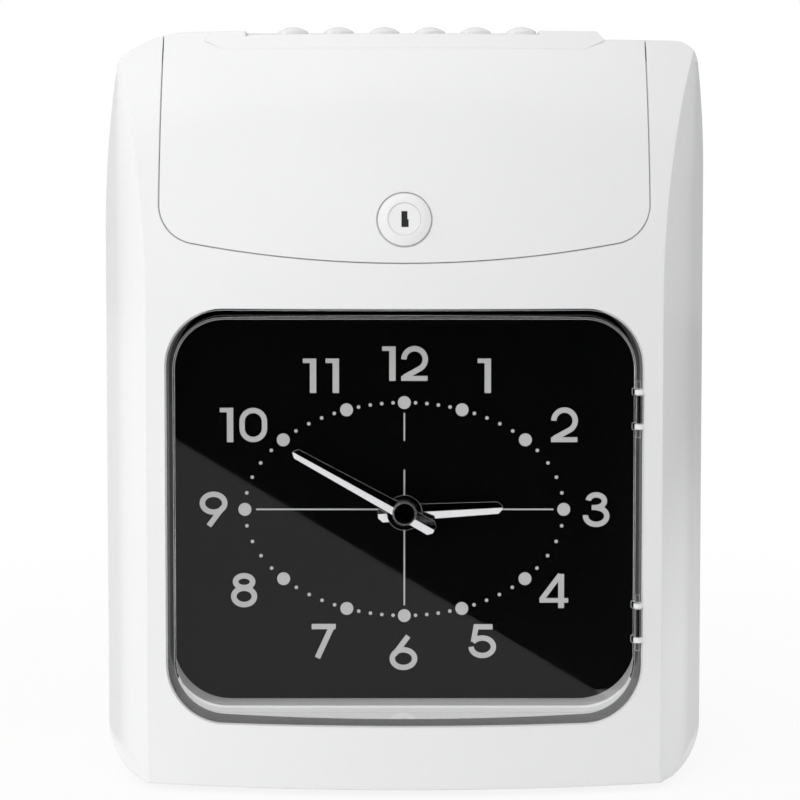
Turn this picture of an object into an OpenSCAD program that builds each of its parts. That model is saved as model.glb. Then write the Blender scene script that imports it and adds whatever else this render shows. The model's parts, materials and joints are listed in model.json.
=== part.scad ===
// Punch-card time clock: a bulged plastic case with an analogue dial behind a hinged clear window,
// and a lockable cover with six keys over the printing mechanism.
// Millimetres. Front towards -Y, +Z up, origin under the middle of the feet.

/* [Case] */
// Overall width of the case
case_w = 211; // [200:1:230]
// Overall depth of the case
case_d = 125; // [120:1:145]
// Height of the top shelf above the table
case_top = 257.5; // [254:0.5:275]
// Height of the case above the table
foot_h = 2.5; // [2:0.5:5]
// Wall thickness of the mouldings
wall = 2.5; // [2:0.1:3]
// Radius of the bulge across the front
bulge_r = 330; // [300:5:420]
// Drop from the top shelf to where the front starts to lean back
lean_drop = 91.5; // [86:0.5:97]
// Radius on which the front leans back
lean_r = 175; // [160:1:220]
// Depth at which the flared side meets the straight side
flare_y = -11; // [-16:1:-4]
// Sideways run of the flare for each millimetre of depth
flare_slope = 0.443; // [0.36:0.01:0.46]
// Drop from the top shelf to where the left side starts to draw in
taper_drop = 67.5; // [55:0.5:75]
// Radius on which the left side draws in
taper_r = 300; // [260:5:420]
// Distance from the left side to where the long round of the left shoulder starts
shoulder_in = 31.5; // [28:0.5:36]
// Radius of the left shoulder
shoulder_r = 38; // [32:0.5:44]
// Radius where the left shoulder turns down into the side
shoulder_edge = 6; // [4:0.5:9]
// Drop from the top shelf to where the right side starts to draw in
right_drop = 45.5; // [35:0.5:60]
// Radius on which the right side draws in
right_r = 260; // [230:5:360]
// Radius of the upper right corner
top_r = 9; // [7:0.5:14]
// Radius of the lower corners
bottom_r = 14; // [10:0.5:18]
// Depth of the joint between the front and rear housing
split_y = 12; // [11:0.5:12.5]
// Radius of the rubber feet
foot_r = 7; // [5:0.5:9]
// Radius of the case screw shanks
case_screw_r = 1.7; // [1.4:0.1:2]

/* [Window] */
// Width of the case beside the window opening
open_side = 24.1; // [23.6:0.1:28]
// Drop from the top shelf to the window opening
open_drop = 92; // [91:0.5:96]
// Height of the lower edge of the window opening
open_low = 23.9; // [22:0.1:30]
// Corner radius of the window opening
open_r = 20; // [16:0.5:24]
// Running gap around the window
window_gap = 0.5; // [0.4:0.05:0.8]
// Depth of the flat pane behind the front of the case
pane_recess = 12; // [11:0.5:13]
// Thickness of the flat pane
pane_t = 2; // [1.5:0.1:2.5]
// Width of the rim beside the pane
rim_side = 3.2; // [3:0.1:4]
// Width of the rim above the pane
rim_top = 3.8; // [3:0.1:5]
// Width of the rim below the pane
rim_bottom = 4.6; // [3.5:0.1:6]
// Flare of the rim from the pane to its front edge
rim_flare = 1.6; // [0.8:0.1:2]
// Length of the window knuckles
knuckle_len = 9.6; // [7:0.1:12]
// Length of the lugs at the ends of each knuckle
lug_len = 1.7; // [1.4:0.1:3]
// Radius of the window knuckles and lugs
knuckle_r = 1.5; // [1.3:0.05:1.65]
// Radius of the window hinge pins
window_pin_r = 0.7; // [0.6:0.05:0.8]
// Height of the window hinges above and below the middle of the opening
knuckle_rise = 36.5; // [30:0.5:42]

/* [Dial] */
// Depth of the dial face behind the pane
dial_depth = 18; // [17:0.5:20]
// Height of the dial centre above the middle of the opening
dial_lift = 0.3; // [0:0.1:1]
// Thickness of the dial plate
dial_t = 1.2; // [1:0.1:1.6]
// Height of the sill below the dial
sill_h = 4.8; // [3:0.1:6]
// Half width of the ring of dots
ring_a = 55.4; // [48:0.2:60]
// Half height of the ring of dots
ring_b = 37.2; // [32:0.2:42]
// Radius of the hour dots
hour_dot_r = 2.25; // [1.6:0.05:2.8]
// Thickness of the hour dots
hour_dot_t = 0.3; // [0.2:0.05:0.5]
// Width and height of the quartz movement
movement_w = 56; // [50:1:60]
// Thickness of the quartz movement
movement_t = 16; // [14:0.5:18]

/* [Hands] */
// Reach of the minute hand
minute_len = 43.6; // [36:0.2:50]
// Reach of the hour hand
hour_len = 33.8; // [28:0.2:40]
// Tail of the minute hand
minute_tail = 11.8; // [9:0.2:14]
// Tail of the hour hand
hour_tail = 9.1; // [8:0.1:11]
// Width of the minute hand at its tail
minute_w = 5.4; // [4.5:0.1:6]
// Width of the hour hand at its tail
hour_w = 6.1; // [5:0.1:7]
// Width lost along each hand
hand_taper = 1.9; // [1:0.1:2.4]
// Thickness of each hand
hand_t = 1.2; // [1:0.1:1.4]
// Clock angle of the minute hand at rest
minute_at = 299; // [0:1:359]
// Clock angle of the hour hand at rest
hour_at = 87; // [0:1:359]

/* [Cover] */
// Width of the case beside the cover
cover_side = 22.25; // [21.25:0.25:26]
// Drop from the top shelf to the lowest point of the cover
cover_drop = 76.5; // [74:0.5:77.5]
// Radius of the arc along the lower edge
cover_arc_r = 398; // [300:5:500]
// Radius of the lower corners of the cover
cover_corner_r = 13.5; // [9:0.5:18]
// Seam around the cover
seam = 0.4; // [0.3:0.05:0.7]
// Radius of the hinge barrel along the rear edge
barrel_r = 3.5; // [3.2:0.1:4]
// Radius of the cover hinge pins
cover_pin_r = 1.5; // [1.2:0.1:1.8]
// Width of the shelf beside the raised key bar
bar_side = 14.25; // [12:0.25:18]
// Rise of the key bar above the shelf
bar_rise = 2.8; // [2:0.1:3.5]

/* [Keys] */
// Distance between keys
key_pitch = 15.8; // [14.5:0.1:17]
// Radius of the keys
key_r = 5.2; // [4.5:0.1:5.6]
// Rise of the key domes above the bar
key_rise = 1.7; // [1.2:0.1:2.4]
// Depth of the key row behind the front of the case
key_set = 37.5; // [36.5:0.5:38.5]
// Travel of the keys
key_travel = 1; // [0.6:0.1:1.2]
// Guide clearance around the keys
key_clear = 0.15; // [0.1:0.05:0.3]

/* [Lock] */
// Drop from the top shelf to the lock
lock_drop = 62; // [58:0.5:63.5]
// Radius of the lock flange
lock_flange_r = 8.9; // [8.2:0.1:9.5]
// Radius of the lock barrel
lock_barrel_r = 7.5; // [7:0.1:8]
// Radius of the turning plug
plug_r = 5.5; // [5:0.1:6]
// Length of the lock behind the cover
lock_len = 14; // [13:0.5:16]
// Reach of the cam
cam_len = 20; // [19:0.5:22]

/* [Mechanism] */
// Radius of the guide rods
rod_r = 3; // [2.5:0.1:3.5]
// Radius of the belt pulleys
pulley_r = 7; // [6:0.1:8]
// Thickness of the belt
belt_t = 1.2; // [0.8:0.1:1.4]
// Width of the card slot
slot_w = 92; // [86:1:96]
// Opening of the card slot from front to rear
slot_t = 7; // [6:0.1:7.4]
// Depth of the middle of the card slot
slot_y = 17.5; // [17:0.1:18]
// Sheet thickness of the mechanism frame
sheet_t = 1.2; // [1:0.1:1.5]
// Radius of the feed rollers
roller_r = 4.6; // [4.2:0.1:4.8]
// Tooth size of the feed gears
gear_module = 1; // [0.9:0.05:1.05]

/* [Hidden] */
$fn = 96;
far = 400;
eps = 0.02;
run_fit = 0.05;
front_y = -case_d / 2;
back_y = case_d / 2;
axis_y = front_y + bulge_r;
floor_z = foot_h + wall;
lean_z = case_top - lean_drop;
taper_z = case_top - taper_drop;
right_z = case_top - right_drop;
shoulder_x = shoulder_in - case_w / 2;
open_w = case_w - 2 * open_side;
open_h = case_top - open_drop - open_low;
open_z = open_low + open_h / 2;
dial_z = open_z + dial_lift;
cover_low = case_top - cover_drop;
lock_z = case_top - lock_drop;
cover_w = case_w - 2 * cover_side;
bar_w = cover_w - 2 * bar_side;
key_y = front_y + key_set;
lean_y = function(z) z < lean_z ? 0 : lean_r - sqrt(lean_r * lean_r - (z - lean_z) * (z - lean_z));
front_at = function(x, z) axis_y - sqrt(pow(bulge_r - lean_y(z), 2) - x * x);

// Window and dial levels, from front to rear
tray_skirt = 1.2;
pane_y = front_y + pane_recess;
pane_back = pane_y + pane_t;
tray_back = pane_back + tray_skirt;
step_y = tray_back + window_gap;
dial_y = pane_y + dial_depth;
dial_back = dial_y + dial_t;
tray_w = open_w - 2 * window_gap;
tray_h = open_h - 2 * window_gap;
view_w = open_w - 2 * rim_side;
view_h = open_h - rim_top - rim_bottom;
view_z = open_z + (rim_bottom - rim_top) / 2;
view_r = open_r - rim_side;
hinge_inset = 1.8;
window_axis_x = open_w / 2 - hinge_inset;
hinge_proud = 0.3;
window_axis_y = front_at(window_axis_x, open_z) - hinge_proud;
lug_root = 5;
notch_gap = 0.5;
knuckle_gap = 0.25;
dial_screw_inset = 1.5;
dial_screw_r = 1.1;
dial_bite = 5.5;
dial_boss_r = 4;
dial_boss_len = 8;
plate_margin = 3;
plate_corner_r = 6;
step_in = 1;

// Movement stem and hands, from the dial forwards
stem_r = 3.6;
stem_len = 3.4;
nut_t = 2.4;
tube_r = 2.6;
arbor_r = 1.7;
hand_rise = 10;
hand_gap = 1.4;
hour_y = dial_y - hand_rise;
minute_y = hour_y - hand_t - hand_gap;
facet_drop = 0.86;
hand_end = 0.25;
hour_hub_r = 6.1;
minute_hub_r = 4.1;
cap_t = 0.9;
cap_step = 0.4;
tube_root = 6;
tube_slack = 0.5;
nut_r = 5.2;
case_corner_r = 4;
bay_half = 7.25;
bay_deep = 13;
bay_margin = 3;

// Cover, hinge barrel and keys
bar_top = case_top + bar_rise;
hinge_y = 0;
hinge_z = case_top - barrel_r;
cover_back = hinge_y + barrel_r + seam;
skin_under = case_top - wall;
bar_proud = 0.8;
bar_drop = 3.5;
bar_foot = 0.05;
bar_edge = 0.6;
lip_in = 7;
lip_half = bar_w / 2 - lip_in;
bar_behind = 10.5;
bar_back = key_y + bar_behind;
key_x0 = -38.5;
key_count = 6;
key_last = key_x0 + (key_count - 1) * key_pitch;
channel_depth = 2;
channel_left = 16.2;
channel_right = 5.9;
channel_x0 = key_x0 - channel_left;
channel_x1 = key_last + channel_right;
channel_half = 6.6;
lip_drop = 1.3;
flange_t = 1;
flange_gap = 0.2;
flange_over = 1.2;
key_flange_z = skin_under - flange_gap - flange_t;
stem_key_r = 1.6;
switch_w = 6.4;
switch_h = 3.5;
board_t = 1.6;
switch_gap = 3.3;
switch_slack = 0.5;
keypad_z = key_flange_z - switch_gap - switch_h;
stem_end = keypad_z + key_travel + switch_slack;
keypad_side = 4.5;
keypad_half_w = bar_w / 2 - keypad_side;
keypad_half_d = 8;
keypad_post_in = 5;
keypad_post_x = keypad_half_w - keypad_post_in;
post_r = 3;
small_screw_r = 1.1;
small_bite = 4.5;
small_pilot = 5;
cover_pin_in = 12;
cover_pin_out = 6;
cover_pin_end = 1;
hinge_boss = 2;

// Lock, square to the leaning cover
lock_tilt = asin((lock_z - lean_z) / lean_r);
lock_y = front_at(0, lock_z);
lock_face = 1.2;
lock_lip = 0.2;
lock_slope = 2.4;
lock_sink = 1.2;
lock_ring_gap = 0.5;
lock_nut_t = 3;
lock_nut_r = 10.5;
lock_seat = 0.45;
plug_set = 0.2;
plug_tail = 5;
plug_rivet_r = 3.4;
plug_rivet_t = 1.8;
strike_half = 9;
strike_top = 3;
strike_h = 6;
cam_t = 1.6;
cam_w = 9;
cam_gap = 0.3;
keyway_w = 2;
keyway_h = 5.4;
keyway_left = 3;
keyway_ward = 0.4;

// Card path and mechanism
chute_t = 1.5;
chute_side = 1;
chute_drop = 157.5;
chute_low = case_top - chute_drop;
chute_y0 = slot_y - slot_t / 2 - chute_t;
chute_y1 = slot_y + slot_t / 2 + chute_t;
chute_half = slot_w / 2 + chute_side + chute_t;
frame_y = 30;
frame_side = 9.25;
frame_half = cover_w / 2 - frame_side;
frame_drop = 135.5;
frame_head = 21.5;
shelf_drop = 81.5;
frame_low = case_top - frame_drop;
frame_top = case_top - frame_head;
shelf_z = case_top - shelf_drop;
shelf_front = -38;
shelf_back = 4;
cheek_back = 12;
cheek_drop = 26;
print_drop = 52.5;
print_z = case_top - print_drop;
rod_y = -6;
rod_rise = 11;
rod_low = print_z - rod_rise;
rod_high = print_z + rod_rise;
rod_end = 1.5;
belt_gap = 0.15;
belt_half = 3;
pulley_y = -24;
pulley_half = 4;
belt_reach = pulley_r + belt_gap + belt_t;
belt_clear = 0.25;
flange_edge = 1;
carriage_half = 14;
carriage_wall = 6;
carriage_front = pulley_y + belt_reach + belt_clear;
carriage_rear = 2;
clamp_half = 8;
clamp_out = 4;
clamp_over = 3;
pocket_half = 5;
pocket_front = 3;
motor_r = 11;
motor_h = 18;
motor_top = shelf_z + sheet_t + motor_h;
motor_shaft_r = 1.5;
motor_bush_r = 4;
motor_bush_t = 1.5;
motor_grip = 8;
shaft_end = 1;
shaft_clear = 0.6;
slide_gap = 0.3;
pulley_x = frame_half - sheet_t - motor_r - 1.8;
stud_r = 2;
stud_foot_r = 4;
stud_over = 8;
head_half = 9;
head_high = 8;
head_gap = 2.5;
nose_half = 4;
nose_gap = 0.4;
nose_low = 3;
nose_high = 2;
fin_pitch = 3;
fin_half = 0.6;
fin_root = 1.5;
fin_low = 3;
roller_bite = 0.2;
roller_gap = 0.6;
roller_y = chute_y0 + chute_t - roller_bite - roller_r;
roller_drop = 73.5;
roller_z = case_top - roller_drop;
roller_x = 30;
roller_half = 8;
roller_shaft_r = 2;
gear_teeth = 24;
pinion_teeth = 10;
gear_t = 4;
pressure_angle = 20;
gear_addendum = 0.95;
gear_dedendum = 1.25;
gear_thin = 5;
gear_root_in = 0.5;
flank_steps = 4;
gear_ease = 0.25;
gear_far = (gear_teeth + pinion_teeth) * gear_module / 2 + gear_ease;
gear_angle = 62;
pinion_y = roller_y + gear_far * cos(gear_angle);
pinion_z = roller_z + gear_far * sin(gear_angle);
gear_out = 1.6;
gear_x = frame_half + gear_out;
feed_motor_r = 8.5;
feed_motor_x = chute_half + 3.5;
feed_tail = 2.5;
feed_tail_r = 3;
feed_bore = 4;
ribbon_drop = 31.5;
ribbon_h = 12;
ribbon_low = case_top - ribbon_drop;
ribbon_high = ribbon_low + ribbon_h;
ribbon_y0 = -28;
ribbon_y1 = 8;
tab_t = 1.5;
tab_w = 9;
ribbon_half = frame_half - 18;
ribbon_base = 2;
ribbon_lip = 4;
label_left = 6;
label_right = 36;
label_edge = 3;
label_deep = 1;
knob_x = frame_half - 34;
knob_y = -10;
knob_r = 7;
knob_h = 4;
knob_shaft_r = 2;
knob_dents = 8;
dent_r = 1.8;
dent_out = 0.8;
chute_tab_x = 40;
chute_tab_half = 4;
chute_tab_h = 8;
chute_tab_low = 6;
chute_tab_high = 20;
chute_top_gap = 0.2;
print_half = 6;
print_side = 2;
platen_half = 4.6;
platen_side = 1.4;
platen_gap = 0.4;
frame_screw_x = frame_half - 8;
frame_screw_z = [frame_low + 10, frame_top - 8];
frame_bite = 12;
frame_pilot = 14;
frame_pilot_r = 1.3;
frame_post_r = 4.5;

// Rear of the case
boss_side = 8;
boss_rise = 18;
boss_low_x = case_w / 2 - boss_side;
boss_low_z = foot_h + boss_rise;
boss_drop = 21.5;
boss_high_z = case_top - boss_drop;
boss_high_in = 9;
taper_at = taper_r - sqrt(taper_r * taper_r - pow(boss_high_z - taper_z, 2));
boss_high_x = case_w / 2 - taper_at - boss_high_in;
boss_r = 4.5;
boss_len = 24;
boss_y = split_y - boss_len;
boss_pilot = 16;
case_bite = 14;
rib_half = 1;
head_ratio = 1.9;
head_rise = 1.4;
head_r = case_screw_r * head_ratio;
head_deep = 30;
head_clear = 0.3;
shank_clear = 0.2;
keyhole_x = 60;
keyhole_drop = 49.5;
keyhole_z = case_top - keyhole_drop;
keyhole_r = 4.5;
keyhole_slot = 2.25;
keyhole_run = 8;
gland_side = 37.5;
gland_x = case_w / 2 - gland_side;
gland_z = 26;
gland_r = 5.5;
gland_bore = 2.7;
gland_flange = 2;
gland_flange_t = 2;
gland_boss = 3;
board_side = 35.5;
board_half_w = case_w / 2 - board_side;
board_back = 8;
board_y = back_y - wall - board_back;
board_low = 50;
board_under = 10;
board_high = frame_low - board_under;
board_edge = 6;
board_post_x = board_half_w - 8;
board_post_z = [board_low + board_edge, board_high - board_edge];
board_bite = 6;
board_pilot = 7;
chip_w = 36;
chip_h = 12;
chip_t = 3;
chip_rise = 20;
plug_w = 24;
plug_h = 8;
plug_t = 8;
capacitor_r = 5;
capacitor_h = 12;
capacitor_x = board_half_w - 30;
capacitor_gap = 12;
buzzer_r = 6;
buzzer_h = 6;
buzzer_x = 24 - board_half_w;
part_drop = 21;
part_rise = board_high - board_low - part_drop;
transformer_side = 53.5;
transformer_back = 5;
core_w = 44;
core_d = 16;
core_h = 36;
coil_w = 28;
coil_d = 30;
coil_h = 24;
coil_rise = 6;
strap_w = 60;
strap_d = 14;
strap_t = 2;
cell_count = 3;
cell_len = 30;
cell_radius = 5.2;
cell_pitch = 10.5;
cell_back = 1.8;
cell_from_gland = 24;
foot_side = 27.5;
foot_x = case_w / 2 - foot_side;
foot_front = 30.5;
foot_back = 18.5;
foot_front_y = front_y + foot_front;
foot_back_y = back_y - foot_back;
foot_sunk = 1;
foot_edge = 1;
ledge_t = 2;
ledge_in = 4;
ledge_out = 4;
ledge_drop = 10;
ledge_top = 14;
wall_bite = 1;

white = [0.95, 0.95, 0.96];
clear = [0.85, 0.92, 0.96, 0.35];
black = [0.03, 0.03, 0.03];
steel = [0.72, 0.73, 0.75];
chrome = [0.85, 0.86, 0.88];
green = [0.05, 0.32, 0.16];
dark = [0.12, 0.12, 0.13];

// A flat outline in X and Z carried along Y
module facing(y0, y1) {
    translate([0, y1, 0]) rotate([90, 0, 0]) linear_extrude(y1 - y0) children();
}

// A round bar along Y
module rod_y(x, y0, y1, z, r) {
    translate([x, y0, z]) rotate([-90, 0, 0]) cylinder(r = r, h = y1 - y0);
}

// A round bar along X
module rod_x(x0, x1, y, z, r) {
    translate([x0, y, z]) rotate([0, 90, 0]) cylinder(r = r, h = x1 - x0);
}

// A box between two corners
module box(low, high) {
    translate(low) cube(high - low);
}

// A rectangle with round corners, centred
module rounded_rect(w, h, r) {
    square([w - 2 * r, h], center = true);
    square([w, h - 2 * r], center = true);
    for (sx = [-1, 1], sz = [-1, 1]) translate([sx * (w / 2 - r), sz * (h / 2 - r)]) circle(r);
}

// A pan-head screw with a cross recess: shank towards -Y, head towards +Y
module pan_screw(bite, r) {
    head = r * head_ratio;
    rise = r * head_rise;
    rod_y(0, -bite, eps, 0, r);
    difference() {
        rod_y(0, 0, rise, 0, head);
        for (turn = [0, 90]) rotate([0, turn, 0])
            box([-0.7 * head, 0.4 * rise, -0.3 * r], [0.7 * head, rise + 1, 0.3 * r]);
    }
}

// The bulged and leaning front as a solid, set back by an inset
module front_form(inset) {
    core = bulge_r - lean_r;
    translate([0, axis_y, 0]) rotate([0, 0, -120]) rotate_extrude(angle = 60, $fn = 240) {
        translate([0, -20]) square([bulge_r - inset, lean_z + 20]);
        translate([0, lean_z]) square([core, lean_r - inset]);
        intersection() {
            translate([core, lean_z]) circle(lean_r - inset, $fn = 240);
            translate([core, lean_z]) square(lean_r);
        }
    }
}

// The plan of the case: straight sides, flared towards the rear
module case_plan(inset) {
    run = sqrt(1 + flare_slope * flare_slope);
    half = case_w / 2 - inset;
    nose_y = front_y - 20;
    nose = case_w / 2 - flare_slope * (flare_y - nose_y) - inset * run;
    bend_y = flare_y + inset * (run - 1) / flare_slope;
    polygon([[-nose, nose_y], [nose, nose_y], [half, bend_y], [half, back_y - inset],
        [-half, back_y - inset], [-half, bend_y]]);
}

// The long round of the left shoulder and the side below it, up to a given height
module left_shoulder(inset, top) {
    half = case_w / 2 - inset;
    side = [taper_r - case_w / 2, taper_z];
    crown = [shoulder_x, bar_top - shoulder_r];
    side_reach = taper_r - shoulder_edge;
    crown_reach = shoulder_r - shoulder_edge;
    span = norm(crown - side);
    along = (crown - side) / span;
    run = (side_reach * side_reach - crown_reach * crown_reach + span * span) / (2 * span);
    edge = side + run * along + sqrt(side_reach * side_reach - run * run) * [along.y, -along.x];
    meet_z = taper_z + (taper_r - inset) * (edge.y - taper_z) / side_reach;
    intersection() {
        translate(side) circle(taper_r - inset, $fn = 360);
        translate([-half, taper_z]) square([half, meet_z - taper_z]);
    }
    translate(edge) circle(shoulder_edge - inset);
    intersection() {
        translate(crown) circle(shoulder_r - inset, $fn = 180);
        polygon([edge, edge + 2 * (edge - crown), [shoulder_x + 1, far], [shoulder_x + 1, taper_z],
            [edge.x, taper_z]]);
        translate([-half, taper_z]) square([half, top - inset - taper_z]);
    }
}

// The front view of the case: round lower corners, a tight upper corner on the right, a long one on the left
module case_outline(inset) {
    half = case_w / 2 - inset;
    low = foot_h + inset;
    low_r = bottom_r - inset;
    side_x = case_w / 2 - right_r;
    corner_z = case_top - top_r;
    corner_x = side_x + sqrt(pow(right_r - top_r, 2) - pow(corner_z - right_z, 2));
    meet_z = right_z + (right_r - inset) * (corner_z - right_z) / (right_r - top_r);
    translate([-half, low + low_r]) square([2 * half, min(taper_z, right_z) - low - low_r]);
    translate([low_r - half, low]) square([2 * (half - low_r), taper_z - low]);
    for (s = [-1, 1]) translate([s * (half - low_r), low + low_r]) circle(low_r);
    translate([0, low + low_r]) square([half, right_z - low - low_r]);
    intersection() {
        translate([side_x, right_z]) circle(right_r - inset, $fn = 360);
        translate([0, right_z]) square([half, meet_z - right_z]);
    }
    translate([corner_x, corner_z]) circle(top_r - inset);
    translate([shoulder_x, low]) square([corner_x - shoulder_x, case_top - inset - low]);
    left_shoulder(inset, case_top);
}

// The whole case as one solid, set back by an inset
module case_block(inset) {
    intersection() {
        front_form(inset);
        linear_extrude(far) case_plan(inset);
        facing(-far, far) case_outline(inset);
    }
}

// The raised top of the left shoulder, level with the key bar, between two places across the case
module raised_shoulder(x0, x1) {
    intersection() {
        front_form(0);
        linear_extrude(far) case_plan(0);
        facing(-far, bar_back) intersection() {
            union() {
                left_shoulder(0, bar_top);
                translate([shoulder_x, skin_under]) square([-shoulder_x, bar_top - skin_under]);
            }
            translate([x0, skin_under]) square([x1 - x0, bar_top - skin_under]);
        }
    }
}

// The front view of the cover, grown by an amount
module cover_outline(grow) {
    half = cover_w / 2;
    arc_z = cover_low + cover_arc_r;
    corner_x = half - cover_corner_r;
    reach = cover_arc_r - cover_corner_r;
    corner_z = arc_z - sqrt(reach * reach - corner_x * corner_x);
    meet_x = corner_x * (cover_arc_r + grow) / reach;
    translate([-half - grow, corner_z]) square([2 * (half + grow), far - corner_z]);
    for (s = [-1, 1]) translate([s * corner_x, corner_z]) circle(cover_corner_r + grow);
    intersection() {
        translate([0, arc_z]) circle(cover_arc_r + grow, $fn = 360);
        translate([-meet_x, cover_low - grow - 1]) square([2 * meet_x, corner_z - cover_low + grow + 2]);
    }
}

// Places its children at the lock, with -Y square out of the cover
module at_lock() {
    translate([0, lock_y, lock_z]) rotate([-lock_tilt, 0, 0]) children();
}

// The ledge behind the cover seam
module cover_ledge() {
    intersection() {
        difference() {
            front_form(wall - wall_bite);
            front_form(wall + seam + ledge_t);
        }
        facing(-far, far) difference() {
            cover_outline(ledge_out);
            cover_outline(seam);
        }
        box([-far, front_y - 1, cover_low - ledge_drop], [far, boss_y, hinge_z - ledge_top]);
    }
    intersection() {
        difference() {
            front_form(wall + seam);
            front_form(wall + seam + ledge_t);
        }
        facing(-far, far) difference() {
            cover_outline(seam + wall_bite);
            cover_outline(-ledge_in);
        }
        box([-far, front_y - 1, cover_low - ledge_drop], [far, boss_y, hinge_z - ledge_top]);
    }
}

// The two lugs of one window hinge, reaching out of the side wall of the opening
module window_lugs(z) {
    reach_y = window_axis_y + lug_root;
    for (s = [-1, 1]) {
        low = z + s * (knuckle_len / 2 + knuckle_gap + lug_len / 2) - lug_len / 2;
        difference() {
            union() {
                translate([window_axis_x, window_axis_y, low]) cylinder(r = knuckle_r, h = lug_len);
                intersection() {
                    front_form(0);
                    box([window_axis_x, -far, low], [open_w / 2 + wall_bite, reach_y, low + lug_len]);
                }
            }
            translate([window_axis_x, window_axis_y, low - 1])
                cylinder(r = window_pin_r + eps, h = lug_len + 2);
        }
    }
}

// The places of the four case screws
module at_case_screws() {
    for (s = [-1, 1]) {
        translate([s * boss_low_x, 0, boss_low_z]) children();
        translate([s * boss_high_x, 0, boss_high_z]) children();
    }
}

// The places of the four screws of the mechanism frame
module at_frame_screws() {
    for (s = [-1, 1], z = frame_screw_z) translate([s * frame_screw_x, frame_y, z]) children();
}

// The places of the four screws of the main board
module at_board_screws() {
    for (s = [-1, 1], z = board_post_z) translate([s * board_post_x, board_y, z]) children();
}

// The places of the six keys
module at_keys() {
    for (i = [0 : key_count - 1]) translate([key_x0 + i * key_pitch, key_y, 0]) children();
}

// The places of the four dial screws
module at_dial_screws() {
    for (sx = [-1, 1], sz = [-1, 1])
        translate([sx * (open_w / 2 - dial_screw_inset), 0, open_z + sz * (open_h / 2 - dial_screw_inset)])
            children();
}

// The ribs that tie the screw bosses to the side walls
module boss_ribs(y0, y1) {
    for (s = [0, 1]) mirror([s, 0, 0]) {
        box([boss_low_x, y0, boss_low_z - rib_half], [far, y1, boss_low_z + rib_half]);
        box([boss_high_x, y0, boss_high_z - rib_half], [far, y1, boss_high_z + rib_half]);
    }
}

module front_housing() color(white) difference() {
    union() {
        difference() {
            case_block(0);
            case_block(wall);
            box([-far, split_y, -1], [far, far, far]);
            facing(-far, cover_back) cover_outline(seam);
            facing(-far, dial_y) translate([0, open_z]) rounded_rect(open_w, open_h, open_r);
        }
        intersection() {
            case_block(0);
            union() {
                facing(-far, dial_y) difference() {
                    translate([0, open_z]) rounded_rect(open_w + 2 * wall, open_h + 2 * wall, open_r + wall);
                    translate([0, open_z]) rounded_rect(open_w, open_h, open_r);
                }
                for (s = [0, 1]) mirror([s, 0, 0])
                    rod_x(cover_w / 2 + seam, cover_w / 2 + seam + cover_pin_out + hinge_boss,
                        hinge_y, hinge_z, barrel_r);
            }
        }
        facing(step_y, dial_y) difference() {
            translate([0, open_z]) rounded_rect(open_w + wall, open_h + wall, open_r + wall / 2);
            translate([0, open_z + sill_h / 2]) rounded_rect(open_w - 2 * step_in, open_h - sill_h, open_r);
        }
        raised_shoulder(-case_w / 2, -cover_w / 2 - seam);
        cover_ledge();
        intersection() {
            front_form(wall - wall_bite);
            box([-strike_half, front_y, cover_low - strike_top - strike_h],
                [strike_half, lock_y + strike_half, cover_low - strike_top]);
        }
        for (z = [open_z - knuckle_rise, open_z + knuckle_rise]) window_lugs(z);
        intersection() {
            case_block(wall - wall_bite);
            union() {
                at_case_screws() rod_y(0, boss_y, split_y, 0, boss_r);
                boss_ribs(boss_y, split_y);
                at_dial_screws() rod_y(0, dial_y - dial_boss_len, dial_y, 0, dial_boss_r);
            }
        }
    }
    at_dial_screws() rod_y(0, dial_y - dial_bite - 0.5, dial_y + 1, 0, dial_screw_r + eps);
    at_case_screws() rod_y(0, split_y - boss_pilot, split_y + 1, 0, case_screw_r + eps);
    for (s = [0, 1]) mirror([s, 0, 0]) {
        rod_x(cover_w / 2, cover_w / 2 + cover_pin_out, hinge_y, hinge_z, cover_pin_r + eps);
        translate([foot_x, foot_front_y, 0]) cylinder(r = foot_r + eps, h = foot_h + foot_sunk);
    }
}

module rear_housing() color(white) difference() {
    union() {
        difference() {
            case_block(0);
            case_block(wall);
            box([-far, -far, -1], [far, split_y, far]);
        }
        intersection() {
            case_block(wall - wall_bite);
            union() {
                at_case_screws() rod_y(0, split_y, back_y, 0, boss_r);
                boss_ribs(split_y, back_y);
                at_frame_screws() rod_y(0, sheet_t, back_y, 0, frame_post_r);
                at_board_screws() rod_y(0, board_t, back_y, 0, post_r);
                rod_y(gland_x, back_y - wall - gland_flange_t, back_y, gland_z,
                    gland_r + gland_flange + gland_boss);
            }
        }
    }
    at_case_screws() {
        rod_y(0, split_y - 1, far, 0, case_screw_r + shank_clear);
        rod_y(0, back_y - head_deep, far, 0, head_r + head_clear);
    }
    at_frame_screws() rod_y(0, 0, frame_pilot, 0, frame_pilot_r + eps);
    at_board_screws() rod_y(0, 0, board_pilot, 0, small_screw_r + eps);
    box([-slot_w / 2, slot_y - slot_t / 2, skin_under - 5], [slot_w / 2, slot_y + slot_t / 2, far]);
    for (s = [-1, 1]) {
        translate([s * keyhole_x, 0, keyhole_z]) facing(back_y - wall - 1, far) {
            circle(keyhole_r);
            translate([-keyhole_slot, 0]) square([2 * keyhole_slot, keyhole_run]);
            translate([0, keyhole_run]) circle(keyhole_slot);
        }
        translate([s * foot_x, foot_back_y, 0]) cylinder(r = foot_r + eps, h = foot_h + foot_sunk);
    }
    rod_y(gland_x, back_y - gland_flange_t, far, gland_z, gland_r + gland_flange + head_clear);
    rod_y(gland_x, 0, far, gland_z, gland_r + eps);
}

module rubber_feet() color(dark)
    for (s = [-1, 1], y = [foot_front_y, foot_back_y])
        translate([s * foot_x, y, 0]) rotate_extrude() difference() {
            square([foot_r, foot_h + foot_sunk]);
            translate([foot_r, 0]) rotate(45) square(foot_edge, center = true);
        }

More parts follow.
